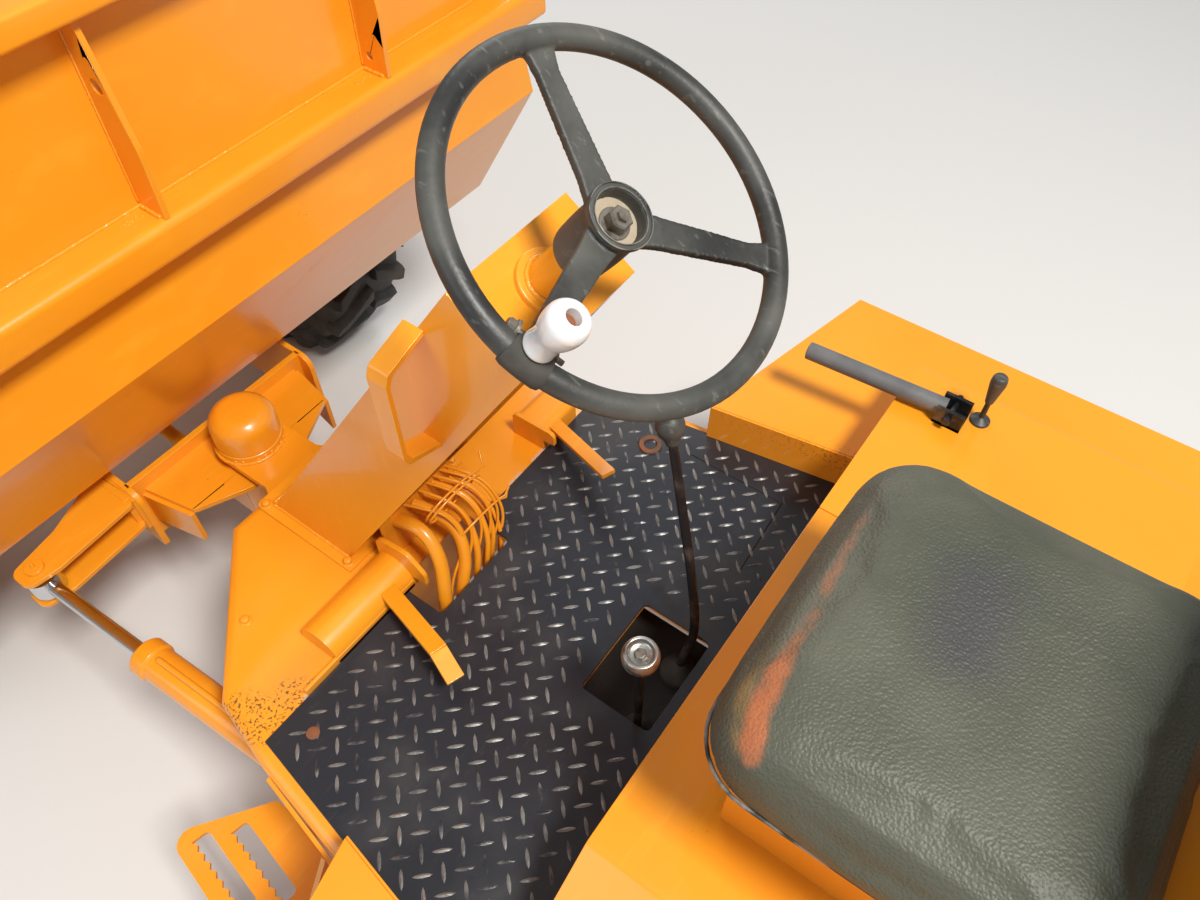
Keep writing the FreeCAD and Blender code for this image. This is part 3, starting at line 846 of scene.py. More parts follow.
# Pedals: a half-round cover over the cross shaft with end plates and arms
def pedals():
    back = FLOOR_FRONT + 1
    mesh = bmesh.new()
    plate(mesh, "x", -265, 173, [(-243, NOSE_Z), (-243, 769, 40), (back, 769, 40), (back, NOSE_Z)])
    block(mesh, (-330, -94), (back, back + 6), (NOSE_Z, NOSE_Z + 18))
    plate(mesh, "x", -94, 8, [(-248, NOSE_Z), (-248, 796, 22), (-318, 808, 22), (-352, 776, 18), (-352, 748),
                              (back, 745), (back, NOSE_Z)])
    strut(mesh, (-132, -290, 742), (-182, -466, 790), 28, 10)
    strut(mesh, (-181, -462, 789), (-197, -508, 775), 28, 10)
    plate(mesh, "x", 258, 90, [(-252, NOSE_Z), (-252, 764, 14), (back + 2, 764, 14), (back + 2, NOSE_Z)])
    plate(mesh, "x", 250, 8, [(-252, NOSE_Z), (-252, 776, 12), (-346, 776, 12), (-346, 748), (back + 2, 745),
                              (back + 2, NOSE_Z)])
    strut(mesh, (296, -296, 744), (224, -484, 797), 26, 8)
    forged("pedals", mesh, "rear_unit")


pedals()


# Engine cover: a folded hood with side louvres and a rear grille, over the engine and gearbox
def hood_outline(inset):
    low, shoulder, top = HOOD_HALF - inset, HOOD_HIGH - 0.3 * inset, HOOD_TOP_HALF - 0.3 * inset
    return mirrored([(-low, HOOD_LOW - inset), (-low, shoulder, 30), (-top, DECK_Z - inset, 24)])


def hood():
    mesh, inside, tool = bmesh.new(), bmesh.new(), bmesh.new()
    plate(mesh, "y", DECK_FRONT, DECK_FRONT - DECK_REAR, hood_outline(0))
    plate(inside, "y", DECK_FRONT - 4, DECK_FRONT - DECK_REAR - 8, hood_outline(4))
    for k in range(10):
        for side in BOTH:
            block(tool, (side * (HOOD_HALF - 12), side * (HOOD_HALF + 5)),
                  (DECK_REAR + 150 + 44 * k, DECK_REAR + 164 + 44 * k), (655, 765))
    block(tool, (-215, 215), (DECK_REAR - 5, DECK_REAR + 15), (690, 850))
    forged("hood", carved(carved(mesh, inside), tool), "rear_unit", replaces=("engine_cover",))
    mesh = bmesh.new()
    plate(mesh, "y", DECK_REAR, 8, mirrored([(-240, 665, 10), (-240, 875, 10)]),
          mirrored([(-214, 691), (-214, 849)]))
    for z in range(704, 845, 16):
        block(mesh, (-220, 220), (DECK_REAR - 7, DECK_REAR - 1), (z, z + 6))
    forged("grille", mesh, "rear_unit")
    mesh = bmesh.new()
    block(mesh, (-130, 130), (-945, -600), (250, 615))
    block(mesh, (-130, 130), (DECK_FRONT + 5, -600), (600, 640))
    forged("gearbox", mesh, "rear_unit", "grey_iron", bevel=0.006)


hood()


# Fenders: a sheet with turned-down edges and a riser from the floor; the right one carries the lever box
def fender(hand, side):
    mesh = bmesh.new()
    inner = [(floor_edge(y) - 3, y) for y in (-545, DECK_FRONT)]
    outer, top, deep, wall = 854, 805, 34, 4
    rim_line = [(outer, -1640), (outer, -637), (549, -567), inner[0]]

    def strip(points, low, high):
        inward = [(x - wall, y - wall) for x, y in points]
        plate(mesh, "z", low, high, [(side * x, y) for x, y in points + inward[::-1]])

    plate(mesh, "z", top - 5, 5, [(side * x, y) for x, y in rim_line + [inner[1], (HOOD_HALF, DECK_FRONT),
                                                                      (HOOD_HALF, -1640)]])
    strip(rim_line[:3], top - deep, deep - 1)
    strip([rim_line[2], (inner[0][0] + 4, inner[0][1])], top - deep, deep - 1)
    plate(mesh, "z", NOSE_Z + 5, top - NOSE_Z - 6, [(side * x, y) for x, y in (
        inner[0], inner[1], (inner[1][0] - wall, inner[1][1]), (inner[0][0] - wall, inner[0][1]))])
    if side > 0:
        plate(mesh, "y", DECK_FRONT, 483, [(HOOD_HALF, top - 1), (660, top - 1), (660, DECK_Z, 12),
                                           (HOOD_TOP_HALF + 1, DECK_Z), (HOOD_HALF, HOOD_HIGH)])
    forged(hand + "_wing", mesh, "rear_unit", "fender_paint", (hand + "_fender",))


for hand, side in SIDES:
    fender(hand, side)


# Left step: a plate with two toothed slots, hung from the nose plate's edge by a bracket
def toothed_slot(start, end, wide, teeth):
    first, last = Vector(start), Vector(end)
    along = last - first
    level = Vector((along.y, -along.x)).normalized() * (wide / 2)
    if level.x > 0:
        level = -level
    row = []
    for k in range(teeth):
        row.append(tuple(first + along * (k / teeth) + level))
        row.append(tuple(first + along * ((k + 0.5) / teeth) + level * 0.62))
    row.append(tuple(last + level))
    return row + [(*(last - level), 10), (*(first - level), 10)]


def step():
    z = 455
    hang = [(-floor_edge(y) - 24 + 0.009 * (y + 348), y) for y in (-360, -560)]
    mesh = bmesh.new()
    plate(mesh, "z", z - 20, NOSE_Z - z + 6, [hang[0], (hang[0][0] - 6, hang[0][1]),
                                              (hang[1][0] - 6, hang[1][1]), hang[1]])
    plate(mesh, "z", z - 8, 8, [(-592, -176, 26), (-447, -281, 10), (hang[0][0] + 2, hang[0][1]),
                                (hang[1][0] + 2, -500, 6), (-652, -500, 26)],
          toothed_slot((-561, -222), (-587, -372), 30, 8), toothed_slot((-514, -262), (-540, -412), 30, 8))
    plate(mesh, "y", -484, 8, [(-610, z - 7), (hang[1][0] + 4, z - 7), (hang[1][0] + 4, NOSE_Z - 60)])
    forged("step", mesh, "rear_unit")


step()


# Seat stand, tow jaw, fuel tank and exhaust
def rear_fittings():
    low, high = (corner * 1000 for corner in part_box("seat_cushion"))
    pan_top, back_y = low.z - 0.3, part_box("seat_back")[0].y * 1000 - 8
    mesh = bmesh.new()
    for x in (-180, 172):
        block(mesh, (x, x + 8), (-1270, -930), (DECK_Z, pan_top - 4))
    for y in (-1270, -936):
        block(mesh, (-180, 180), (y, y + 6), (DECK_Z + 20, pan_top - 4))
    plate(mesh, "z", pan_top - 5, 5, mirrored([(-200, high.y - 20, 30), (-200, back_y, 10)]))
    plate(mesh, "y", back_y + 8, 8, mirrored([(-150, pan_top - 5), (-150, 1540, 60)]))
    forged("seat_stand", mesh, "rear_unit", replaces=("seat_base",))
    mesh = bmesh.new()
    for z in (416, 490):
        plate(mesh, "z", z, 14, [(-60, -1815), (-40, -1875, 25), (40, -1875, 25), (60, -1815)],
              circle(0, -1848, 14))
    block(mesh, (-60, 60), (-1823, -1800), (400, 520))
    forged("tow_jaw", mesh, "rear_unit", replaces=("hitch",))
    mesh = bmesh.new()
    plate(mesh, "y", -420, 370, [(290, 455, 24), (462, 455, 40), (462, 664, 40), (290, 664, 24)])
    turned(mesh, "x", (460, -490, 575), [(0, 0), (24, 0), (24, 16), (32, 16, 2), (32, 34, 4), (28, 38),
                                         (0, 38)])
    forged("fuel_tank", mesh, "rear_unit", bevel=0.0)
    mesh = bmesh.new()
    turned(mesh, "y", (-140, -1575, 400), [(0, -270), (20, -270), (20, 0), (50, 10, 6), (55, 18), (55, 332),
                                           (50, 340, 6), (0, 350)])
    rod(mesh, "z", (-140, -1275, 430), 190, 18)
    forged("exhaust", mesh, "rear_unit", "rusty_steel", bevel=0.0)


rear_fittings()


# Drive shafts: one to the rear axle, one to a cross joint under the pivot, and one from it to the front axle
def drive_shafts():
    z, flange = 290, 45
    mesh = bmesh.new()
    turned(mesh, "y", (0, -1004, 380), [(0, 0), (flange, 0), (flange, 10), (24, 10), (24, 49), (flange, 49),
                                        (flange, 59), (0, 59)])
    turned(mesh, "y", (0, -600, z), [(0, 0), (flange, 0), (flange, 10), (16, 10), (16, 770), (0, 770)])
    block(mesh, (-34, 34), (PIVOT_Y - 62, PIVOT_Y - 48), (z - 16, z + 16))
    for x in (-34, 24):
        block(mesh, (x, x + 10), (PIVOT_Y - 50, PIVOT_Y + 14), (z - 14, z + 14))
    block(mesh, (-12, 12), (PIVOT_Y - 12, PIVOT_Y + 12), (z - 12, z + 12))
    rod(mesh, "x", (-30, PIVOT_Y, z), 60, 8)
    rod(mesh, "z", (0, PIVOT_Y, z - 34), 68, 7.9)
    forged("rear_shafts", mesh, "rear_unit")
    mesh = bmesh.new()
    block(mesh, (-16, 16), (PIVOT_Y + 48, PIVOT_Y + 62), (z - 34, z + 34))
    for low in (z - 34, z + 24):
        plate(mesh, "z", low, 10, [(-14, PIVOT_Y - 14), (14, PIVOT_Y - 14), (14, PIVOT_Y + 50),
                                   (-14, PIVOT_Y + 50)],
              circle(0, PIVOT_Y, 8))
    run = Vector((0, 848 - PIVOT_Y - 55, 90))
    rod(mesh, run.normalized(), (0, PIVOT_Y + 55, z), run.length, 16)
    turned(mesh, "y", (0, 844, 380), [(0, 0), (flange, 0), (flange, 10), (0, 10)])
    forged("front_shaft", mesh, "front_unit")


drive_shafts()


# Skip: walls and floor of sheet, folded channel and ribs behind, rims, lip, side ribs, beams and lugs below
SKIP_HALF, SKIP_BACK, SKIP_TOP, HINGE = 832, 180, 1535, (1200, 830)
BOTTOM, LIP, SIDE_FRONT = (325, 665), (1875, 1122), (1150, 1165)
TIP_EYE, TIP_FOOT = (620, 640), (1360, 540)
CHANNEL = (1140, 1206)
SKIP_RIBS = (-483, -26, 431)


def under(y):
    """Height of the skip floor's underside."""
    return BOTTOM[1] + (y - BOTTOM[0]) * (LIP[1] - BOTTOM[1]) / (LIP[0] - BOTTOM[0])


def skip():
    back, top, wall, fold, full = SKIP_BACK, SKIP_TOP, 5, (143, 980), 850
    chan_low, chan_high = CHANNEL
    mesh, room = bmesh.new(), bmesh.new()
    plate(mesh, "x", -SKIP_HALF, 2 * SKIP_HALF, [(back, top), (back, chan_low), fold, BOTTOM, LIP,
                                                 (LIP[0], SIDE_FRONT[1]), (SIDE_FRONT[0], top)])
    plate(room, "x", wall - SKIP_HALF, 2 * (SKIP_HALF - wall), [
        (back + wall, top + 20), (back + wall, chan_low), (fold[0] + wall, fold[1]),
        (BOTTOM[0] + 2, BOTTOM[1] + 1.7 * wall),
        (LIP[0] + 20, under(LIP[0] + 20) + 1.05 * wall), (LIP[0] + 20, top + 20)])
    mesh = carved(mesh, room)
    out, t = back - 65, 6
    plate(mesh, "x", -full, 2 * full, [
        (back + 1, chan_high), (out, chan_high, 14), (out, chan_low, 14), (back + 1, chan_low),
        (back + 1, chan_low + t),
        (out + t, chan_low + t, 8), (out + t, chan_high - t, 8), (back + 1, chan_high - t)])
    plate(mesh, "x", -full, 2 * full, [(back + 1, top), (back - 55, top, 8), (back - 55, top - 40, 8),
                                       (back + 1, top - 40)])
    # columns: depth of the hole's middle, hole height, hole radius
    for x, (deep, z, r) in zip(SKIP_RIBS, ((29, 1403, 11), (29, 1403, 11), (22, 1234, 7))):
        plate(mesh, "x", x, 9, [(back + 1, chan_high - 2), (back - 58, chan_high - 1), (back - 62, 1318, 60),
                                (back - 38, top - 57, 30), (back - 30, top - 38), (back + 1, top - 38)],
              circle(back - deep, z, r))
    lean = (top - SIDE_FRONT[1]) / (LIP[0] - SIDE_FRONT[0])
    for side in BOTH:
        x = SKIP_HALF - 1 if side > 0 else -full
        plate(mesh, "x", x, 19, [(back, top), (SIDE_FRONT[0] + 4, top), (LIP[0], SIDE_FRONT[1] + 2),
                                 (LIP[0], SIDE_FRONT[1] - 38), (SIDE_FRONT[0] - 19 * lean, top - 38),
                                 (back, top - 38)])
        for y in (640, 1240):
            low = under(y) + 40
            high = top - 30 if y < SIDE_FRONT[0] else top - 30 - (y + 50 - SIDE_FRONT[0]) * lean
            plate(mesh, "x", x, 19, [(y, low), (y + 50, low + 15), (y + 50, high), (y, high)])
        plate(mesh, "x", 234 if side > 0 else -246, 12, [
            (400, under(400) + 2), (430, under(430) - 70), (1130, under(1200) - 70), (1166, 830, 6),
            (1200, 790, 34),
            (1240, 830, 8), (1350, under(1350) - 30), (1380, under(1380) + 2)], circle(*HINGE, 18.4, 48))
    eye_y, eye_z = TIP_EYE
    for x in (-38, 28):
        plate(mesh, "x", x, 10, [(eye_y - 34, eye_z, 8), (eye_y, eye_z - 36, 34), (eye_y + 36, eye_z, 8),
                                 (710, under(710) + 2), (530, under(530) + 2)])
    plate(mesh, "x", -full, 2 * full, [(LIP[0], LIP[1] + 1), (LIP[0], LIP[1] - 12),
                                       (LIP[0] - 70, under(LIP[0] - 70) - 12),
                                       (LIP[0] - 70, under(LIP[0] - 70) + 1)])
    forged("skip_tub", mesh, "skip_unit", replaces=("skip",))


skip()


# Front frame: side plates, cross plates, boss and wings at the pivot, hinge pins, rest pads and ram ears
def front_frame():
    mid, thick = SIDE_PLATE_MID, 12
    mesh = bmesh.new()
    for side in BOTH:
        x = side * mid - thick / 2
        plate(mesh, "x", x, thick, [(290, 440), (290, 604, 30), (400, 604), (900, 690), (1165, 830, 10),
                                    (1200, 868, 34),
                                 (1240, 830, 10), (1415, 620, 20), (1415, 440, 20)])
        plate(mesh, "x", x if side < 0 else mid - 20, 26, [(440, 600), (480, 606), (480, under(480) - 0.5),
                                                         (440, under(440) - 0.5)])
        rod(mesh, "x", (min(side * 205, side * 265), *HINGE), 60, 18)
        plate(mesh, "z", 478, 86, [(side * 171, 206), (side * 181, 206), (side * 204, 322),
                                   (side * 194, 322)])
        plate(mesh, "x", 24 if side > 0 else -34, 10, [(1397, 490), (1360, 510, 20), (1330, 540, 20),
                                                       (1360, 572, 20), (1397, 590)])
        block(mesh, (side * 40, side * 56), (PIVOT_Y, 330), (400, 565))
    # columns: rear face, thickness, bottom, top
    for y, deep, z0, z1 in ((320, 14, 440, 604), (700, 16, 520, 600), (1395, 20, 440, 620)):
        block(mesh, (-mid, mid), (y, y + deep), (z0, z1))
    turned(mesh, "z", (0, PIVOT_Y, 350), [(30.1, 0), (55, 0, 3), (55, 235, 3), (30.1, 235)])
    plate(mesh, "z", 563, 12, mirrored([(-195, 324), (-171, 204, 10), (-67, 155)]), circle(0, PIVOT_Y, 31))
    rod(mesh, "x", (-34, *TIP_FOOT), 68, 15)
    forged("front_frame", mesh, "front_unit", replaces=("front_chassis",))
    mesh = bmesh.new()
    for z in (STEER_Z - 39, STEER_Z + 29):
        plate(mesh, "z", z, 10, [(-234, 284, 10), (-400, 274, 20), (-462, 283.5, 20), (-462, 333.5, 20),
                                 (-360, 352, 20), (-234, 404)])
    for z in (STEER_Z - 47, STEER_Z + 39):
        rod(mesh, "z", (*STEER_PIN, z), 8, 17)
    plate(mesh, "x", -244, 12, [(296, 525), (300, 605), (396, 605), (396, 525)])
    block(mesh, (-234, -226), (290, 404), (510, 604))
    forged("ram_ears", mesh, "front_unit", replaces=("ram_bracket",))


front_frame()


# Rams: barrel with its foot eye, gland and pipe
def ram(name, foot, eye, axis, gland, barrel_r, rod_r, pin_r, lift):
    along = (Vector(eye) - Vector(foot)).normalized()
    across = AXES[axis]

    def spot(distance, aside=0.0):
        return Vector(foot) + along * distance + Vector(lift) * aside

    mesh = bmesh.new()
    length = gland - 42
    turned(mesh, along, spot(42), [(0, 0), (barrel_r - 4, 0), (barrel_r, 5), (barrel_r, length - 34),
                                   (barrel_r + 4, length - 30, 2), (barrel_r + 4, length - 4, 2),
                                   (barrel_r, length),
                                   (rod_r + 0.1, length), (rod_r + 0.1, 12), (0, 12)], 48)
    turned(mesh, axis, Vector(foot) - across * 20, [(pin_r, 0), (pin_r + 15, 0, 2), (pin_r + 15, 40, 2),
                                                    (pin_r, 40)])
    rod(mesh, along, spot(pin_r + 8), 50 - pin_r, pin_r + 3)
    bent(mesh, [spot(102, barrel_r - 6), spot(102, barrel_r + 12), spot(gland - 50, barrel_r + 12),
                spot(gland - 50, barrel_r - 6)], 9, 5)
    forged(name + "_ram_tube", mesh, name + "_ram_barrel", replaces=(name + "_barrel",), bevel=0.0)


ram("steer", (*STEER_FOOT, STEER_Z), (*STEER_PIN, STEER_Z), "z", 640, 31, 15, 12, (0, 0, 1))
ram("tip", (0, *TIP_FOOT), (0, *TIP_EYE), "x", 560, 42, 22, 15, (0, -0.134, -0.991))

# Floor: raised bars of the tread plate, and the round pipe ring and screw in it, in metres from here on
FLOOR_TOP = (NOSE_Z + FLOOR_T) * MM
TREAD_PITCH = 0.040
BAR_HALF_LONG, BAR_HALF_WIDE, BAR_TALL = 0.0155, 0.0034, 0.0020


def tread_bar_fits(x, y):
    """Whether a bar at a place keeps off the floor's edges and its two slots."""
    room = BAR_HALF_LONG + 0.002
    if abs(x) > floor_edge(y / MM) * MM - room or not FLOOR_REAR * MM + room < y < FLOOR_FRONT * MM - room:
        return False
    if -0.112 - room < x < 0.062 + room and y > -0.397 - room:
        return False
    return not (-0.088 - room < x < 0.103 + room and -0.778 - room < y < -0.640 + room)


def tread_bar(mesh, x, y, slant, wear):
    """One almond-shaped bar."""
    along = Vector((slant, 1, 0)).normalized()
    side = Vector((-along.y, along.x, 0))
    base = Vector((x, y, FLOOR_TOP - 0.0002))
    # columns: place along the bar, height or width there
    profile = ((-0.6, 0.72), (0, 1), (0.6, 0.72))
    crest = [mesh.verts.new(base + along * BAR_HALF_LONG * t * 0.82 + Vector((0, 0, BAR_TALL * h * wear)))
             for t, h in profile]
    ends = [mesh.verts.new(base + along * BAR_HALF_LONG * t) for t in BOTH]
    for s in BOTH:
        foot = [mesh.verts.new(base + along * BAR_HALF_LONG * t + side * s * BAR_HALF_WIDE * h)
                for t, h in profile]
        for quad in ((ends[0], foot[0], crest[0]), (foot[0], foot[1], crest[1], crest[0]),
                     (foot[1], foot[2], crest[2], crest[1]), (foot[2], ends[1], crest[2])):
            mesh.faces.new(quad if s > 0 else quad[::-1])


def tread_bars():
    mesh = bmesh.new()
    luck = random.Random(4)
    for row in range(-1, 26):
        for column in range(-28, 29):
            for shift, slant in ((0.0, 1), (0.5, -1)):
                x = (column + shift) * TREAD_PITCH
                y = -0.335 - (row + shift) * TREAD_PITCH
                if tread_bar_fits(x, y):
                    tread_bar(mesh, x, y, slant, 0.72 + 0.28 * luck.random())
    bmesh.ops.recalc_face_normals(mesh, faces=mesh.faces)
    made("tread_bars", mesh, "rear_unit", "worn_tread", smooth=50)


tread_bars()


def floor_fittings():
    mesh = bmesh.new()
    lathe(mesh, rounded([(0.012, -0.001), (0.021, -0.001), (0.021, 0.004, 0.002), (0.012, 0.004, 0.002),
                         (0.012, -0.001)]), upright((0.369, -0.474, FLOOR_TOP)), 40)
    lathe(mesh, [(0, 0), (0.010, 0), (0.010, 0.0012), (0.008, 0.002), (0, 0.002)],
          upright((-0.367, -0.373, FLOOR_TOP)), 24)
    made("floor_ring_and_screw", mesh, "rear_unit", "rusty_steel", smooth=35)


floor_fittings()


# Steering wheel in its own axes: x right, y up the rim, z out of the hub
WHEEL = Matrix.Translation([number * MM for number in COLUMN_TOP]) @ Matrix.Rotation(COLUMN_TILT, 4, "X")
SPOKES = (71.5, -48.5, -168.5)
KNOB_AT = -168.8
RING, RING_THICK = 0.172, 0.0120


def spoke(mesh, turn):
    """Bar of four straight runs from the hub out to the rim, each a closed box."""
    thick = 0.0048
    # columns: distance out, half width, height of the spoke's middle
    stations = ((0.024, 0.0175, -0.012), (0.045, 0.0150, -0.0095), (0.140, 0.0115, -0.0045),
                (0.158, 0.0145, -0.002), (0.168, 0.0215, 0.0))
    for run in zip(stations, stations[1:]):
        corners = []
        for r, w, z in run:
            corners += [mesh.verts.new(turn @ Vector((r, s * w, z + t))) for s, t in (
                (-1, -thick), (1, -thick), (1, thick), (-1, thick))]
        for face in ((0, 1, 2, 3), (7, 6, 5, 4), (0, 4, 5, 1), (1, 5, 6, 2), (2, 6, 7, 3), (3, 7, 4, 0)):
            mesh.faces.new([corners[i] for i in face][::-1])


def steering_wheel():
    """Rim, spokes and hub, joined into one skin with soft fillets where they meet."""
    mesh = bmesh.new()
    ring = [WHEEL @ Vector((RING * math.cos(a), RING * math.sin(a), 0)) for a in turns(96)]
    sweep(mesh, ring, RING_THICK, 16, closed=True)
    for degrees in SPOKES:
        spoke(mesh, WHEEL @ Matrix.Rotation(math.radians(degrees), 4, "Z"))
    lathe(mesh, rounded([(0.0245, -0.078), (0.0275, -0.078, 0.002), (0.0292, -0.070, 0.006),
                         (0.0300, -0.040, 0.010),
                         (0.0290, -0.010, 0.004), (0.0305, -0.004, 0.002), (0.0325, -0.002, 0.001),
                         (0.0325, 0.003, 0.001), (0.0255, 0.003, 0.001), (0.0250, -0.012), (0.0102, -0.012),
                         (0.0102, -0.042), (0.0245, -0.042), (0.0245, -0.078)]), WHEEL, 64)
    bmesh.ops.recalc_face_normals(mesh, faces=mesh.faces)
    piece = made("wheel_grip", mesh, "steer_wheel", "black_grip", ("steering_wheel",), smooth=180)
    skin = piece.modifiers.new("skin", "REMESH")
    skin.mode = "VOXEL"
    skin.voxel_size = 0.0016
    skin.use_smooth_shade = True
    ease = piece.modifiers.new("ease", "SMOOTH")
    ease.factor = 0.5
    ease.iterations = 3


steering_wheel()


def spun(name, profile, place, body, paint, sides, smooth):
    """A piece that is one turned form."""
    mesh = bmesh.new()
    lathe(mesh, profile, place, sides)
    made(name, mesh, body, paint, smooth=smooth)


def on_ring(degrees, radius, z):
    """Place at an angle round the wheel, a distance from its middle and a height above its rim."""
    a = math.radians(degrees)
    return WHEEL @ Vector((radius * math.cos(a), radius * math.sin(a), z))


def hub_nut():
    spun("hub_disc", rounded([(0, -0.0125), (0.0245, -0.0125), (0.0245, -0.0105, 0.001), (0.014, -0.0105),
                              (0, -0.0105)]), WHEEL, "steer_wheel", "sandy_disc", 48, 30)
    mesh = bmesh.new()
    bolt(mesh, WHEEL @ Vector((-0.001, -0.001, -0.0105)), WHEEL.to_3x3() @ Vector((0, 0, 1)), 0.021,
         stud=0.004)
    made("hub_nut", mesh, "steer_wheel", "worn_zinc", smooth=30)
    mesh = bmesh.new()
    for radius in (0.0318, 0.0268):
        sweep(mesh, [on_ring(5 * k, radius, 0.0034) for k in range(72)], 0.0007, 6, closed=True)
    made("hub_worn_rings", mesh, "steer_wheel", "worn_chrome", smooth=60)


def knob():
    foot = on_ring(KNOB_AT, 0.163, 0.0135)
    stand = upright(foot, (on_ring(KNOB_AT, 0.1575, 0.070) - foot).normalized())
    spun("knob", rounded([(0, 0), (0.0130, 0, 0.002), (0.0150, 0.003, 0.002), (0.0140, 0.012, 0.006),
                          (0.0145, 0.022, 0.008), (0.0190, 0.036, 0.010), (0.0192, 0.050, 0.009),
                          (0.0150, 0.0575, 0.006), (0.0082, 0.0585, 0.001), (0.0070, 0.0570, 0.001),
                          (0.0068, 0.046), (0, 0.046)], 7), stand, "steer_wheel", "white_knob", 64, 50)
    spun("knob_screw", [(0, 0.0455), (0.0066, 0.0455), (0.0066, 0.0480), (0.0034, 0.0488), (0, 0.0488)],
         stand, "steer_wheel", "rusty_steel", 24, 30)


def knob_clamp():
    """Dark rubber sleeve round the rim under the knob, with a bolt through its ears."""
    mesh = bmesh.new()
    sleeve = [on_ring(SPOKES[2] + 6.3 * (2 * k / 9 - 1), RING, 0) for k in range(10)]
    sweep(mesh, sleeve, [0.0142] + [0.0152] * 8 + [0.0142], 24)
    foot = on_ring(KNOB_AT, 0.164, -0.004)
    rise = on_ring(KNOB_AT, 0.163, 0.0140) - foot
    lathe(mesh, rounded([(0, 0), (0.0165, 0, 0.002), (0.0150, rise.length, 0.002), (0, rise.length)]),
          upright(foot, rise.normalized()), 32)
    made("knob_clamp", mesh, "steer_wheel", "tyre_rubber", smooth=40)
    mesh = bmesh.new()
    start, end = on_ring(-176.3, 0.1585, 0.004), on_ring(-161.0, 0.1545, 0.001)
    along = (end - start).normalized()
    sweep(mesh, [start, end], 0.0032, 12)
    bolt(mesh, start, -along, 0.0115)
    bolt(mesh, end - along * 0.006, along, 0.0095, washer=False, stud=0.007)
    made("knob_clamp_bolt", mesh, "steer_wheel", "worn_zinc", smooth=30)


hub_nut()
knob()
knob_clamp()


# Seat: two foam pads blown up as cloth inside their covers, each with a welt round its lower seam
PAD_ROOM, PAD_VOXEL, PUFF_CAP, PUFF_PRESSURE, FLAT_BELOW = 0.004, 0.0055, 0.006, 3.0, 0.006
WELT_OUT, WELT_R, WELT_UP = 0.0015, 0.0024, 0.010


def outline_loop(half, front, back, front_r, back_r, steps=8):
    """Rounded rectangle seen from above, counter-clockwise."""
    points = []
    for cx, cy, r, start in (
            (half - front_r, front - front_r, front_r, 0), (-half + front_r, front - front_r, front_r, 90),
            (-half + back_r, back + back_r, back_r, 180), (half - back_r, back + back_r, back_r, 270)):
        for k in range(steps + 1):
            a = math.radians(start + 90 * k / steps)
            points.append((cx + r * math.cos(a), cy + r * math.sin(a)))
    return points


def pad_form(name, rings, place):
    """Closed pad from rings of (outline, height) stacked along the place's z axis."""
    mesh = bmesh.new()
    loops = [[mesh.verts.new(place @ Vector((x, y, height))) for x, y in outline]
             for outline, height in rings]
    for first, second in zip(loops, loops[1:]):
        count = len(first)
        for k in range(count):
            mesh.faces.new((first[k], first[(k + 1) % count], second[(k + 1) % count], second[k]))
    mesh.faces.new(loops[0][::-1])
    mesh.faces.new(loops[-1])
    return made(name, mesh, "rear_unit", "seat_vinyl", smooth=180)


def puffed(piece, keep_flat):
    """Blow the pad up as cloth, holding its flat underside, and keep every point within the cap."""
    bpy.context.view_layer.objects.active = piece
    for other in bpy.context.selected_objects:
        other.select_set(False)
    piece.select_set(True)
    skin = piece.modifiers.new("skin", "REMESH")
    skin.mode = "VOXEL"
    skin.voxel_size = PAD_VOXEL
    bpy.ops.object.modifier_apply(modifier="skin")
    rest = [v.co.copy() for v in piece.data.vertices]
    held = piece.vertex_groups.new(name="held")
    held.add([v.index for v in piece.data.vertices if keep_flat(v.co)], 1.0, "REPLACE")
    cloth = piece.modifiers.new("cloth", "CLOTH")
    cloth.settings.vertex_group_mass = "held"
    cloth.settings.use_pressure = True
    cloth.settings.uniform_pressure_force = PUFF_PRESSURE
    cloth.settings.effector_weights.gravity = 0
    cloth.settings.tension_stiffness = 25
    cloth.settings.bending_stiffness = 4
    cloth.settings.quality = 5
    cloth.point_cache.frame_start = 1
    cloth.point_cache.frame_end = 20
    for frame_number in range(1, 21):
        bpy.context.scene.frame_set(frame_number)
    bpy.ops.object.modifier_apply(modifier="cloth")
    bpy.context.scene.frame_set(1)
    for vertex, start in zip(piece.data.vertices, rest):
        move = vertex.co - start
        if move.length > PUFF_CAP:
            vertex.co = start + move.normalized() * PUFF_CAP
    ease = piece.modifiers.new("ease", "SMOOTH")
    ease.factor = 0.5
    ease.iterations = 4
    bpy.ops.object.modifier_apply(modifier="ease")
    soften(piece, 180)


def boxed(piece, low, high):
    """Keep every point within the CAD solid's box."""
    for vertex in piece.data.vertices:
        for k in range(3):
            vertex.co[k] = min(max(vertex.co[k], low[k]), high[k])


def welt(name, half, front, back, front_r, back_r, place, height):
    """Cord sewn round a pad's lower seam."""
    loop = outline_loop(half + WELT_OUT, front + WELT_OUT, back - WELT_OUT, front_r + WELT_OUT,
                        back_r + WELT_OUT)
    mesh = bmesh.new()
    sweep(mesh, [place @ Vector((x, y, height)) for x, y in loop], WELT_R, 8, closed=True)
    made(name, mesh, "rear_unit", "worn_welt", smooth=60)


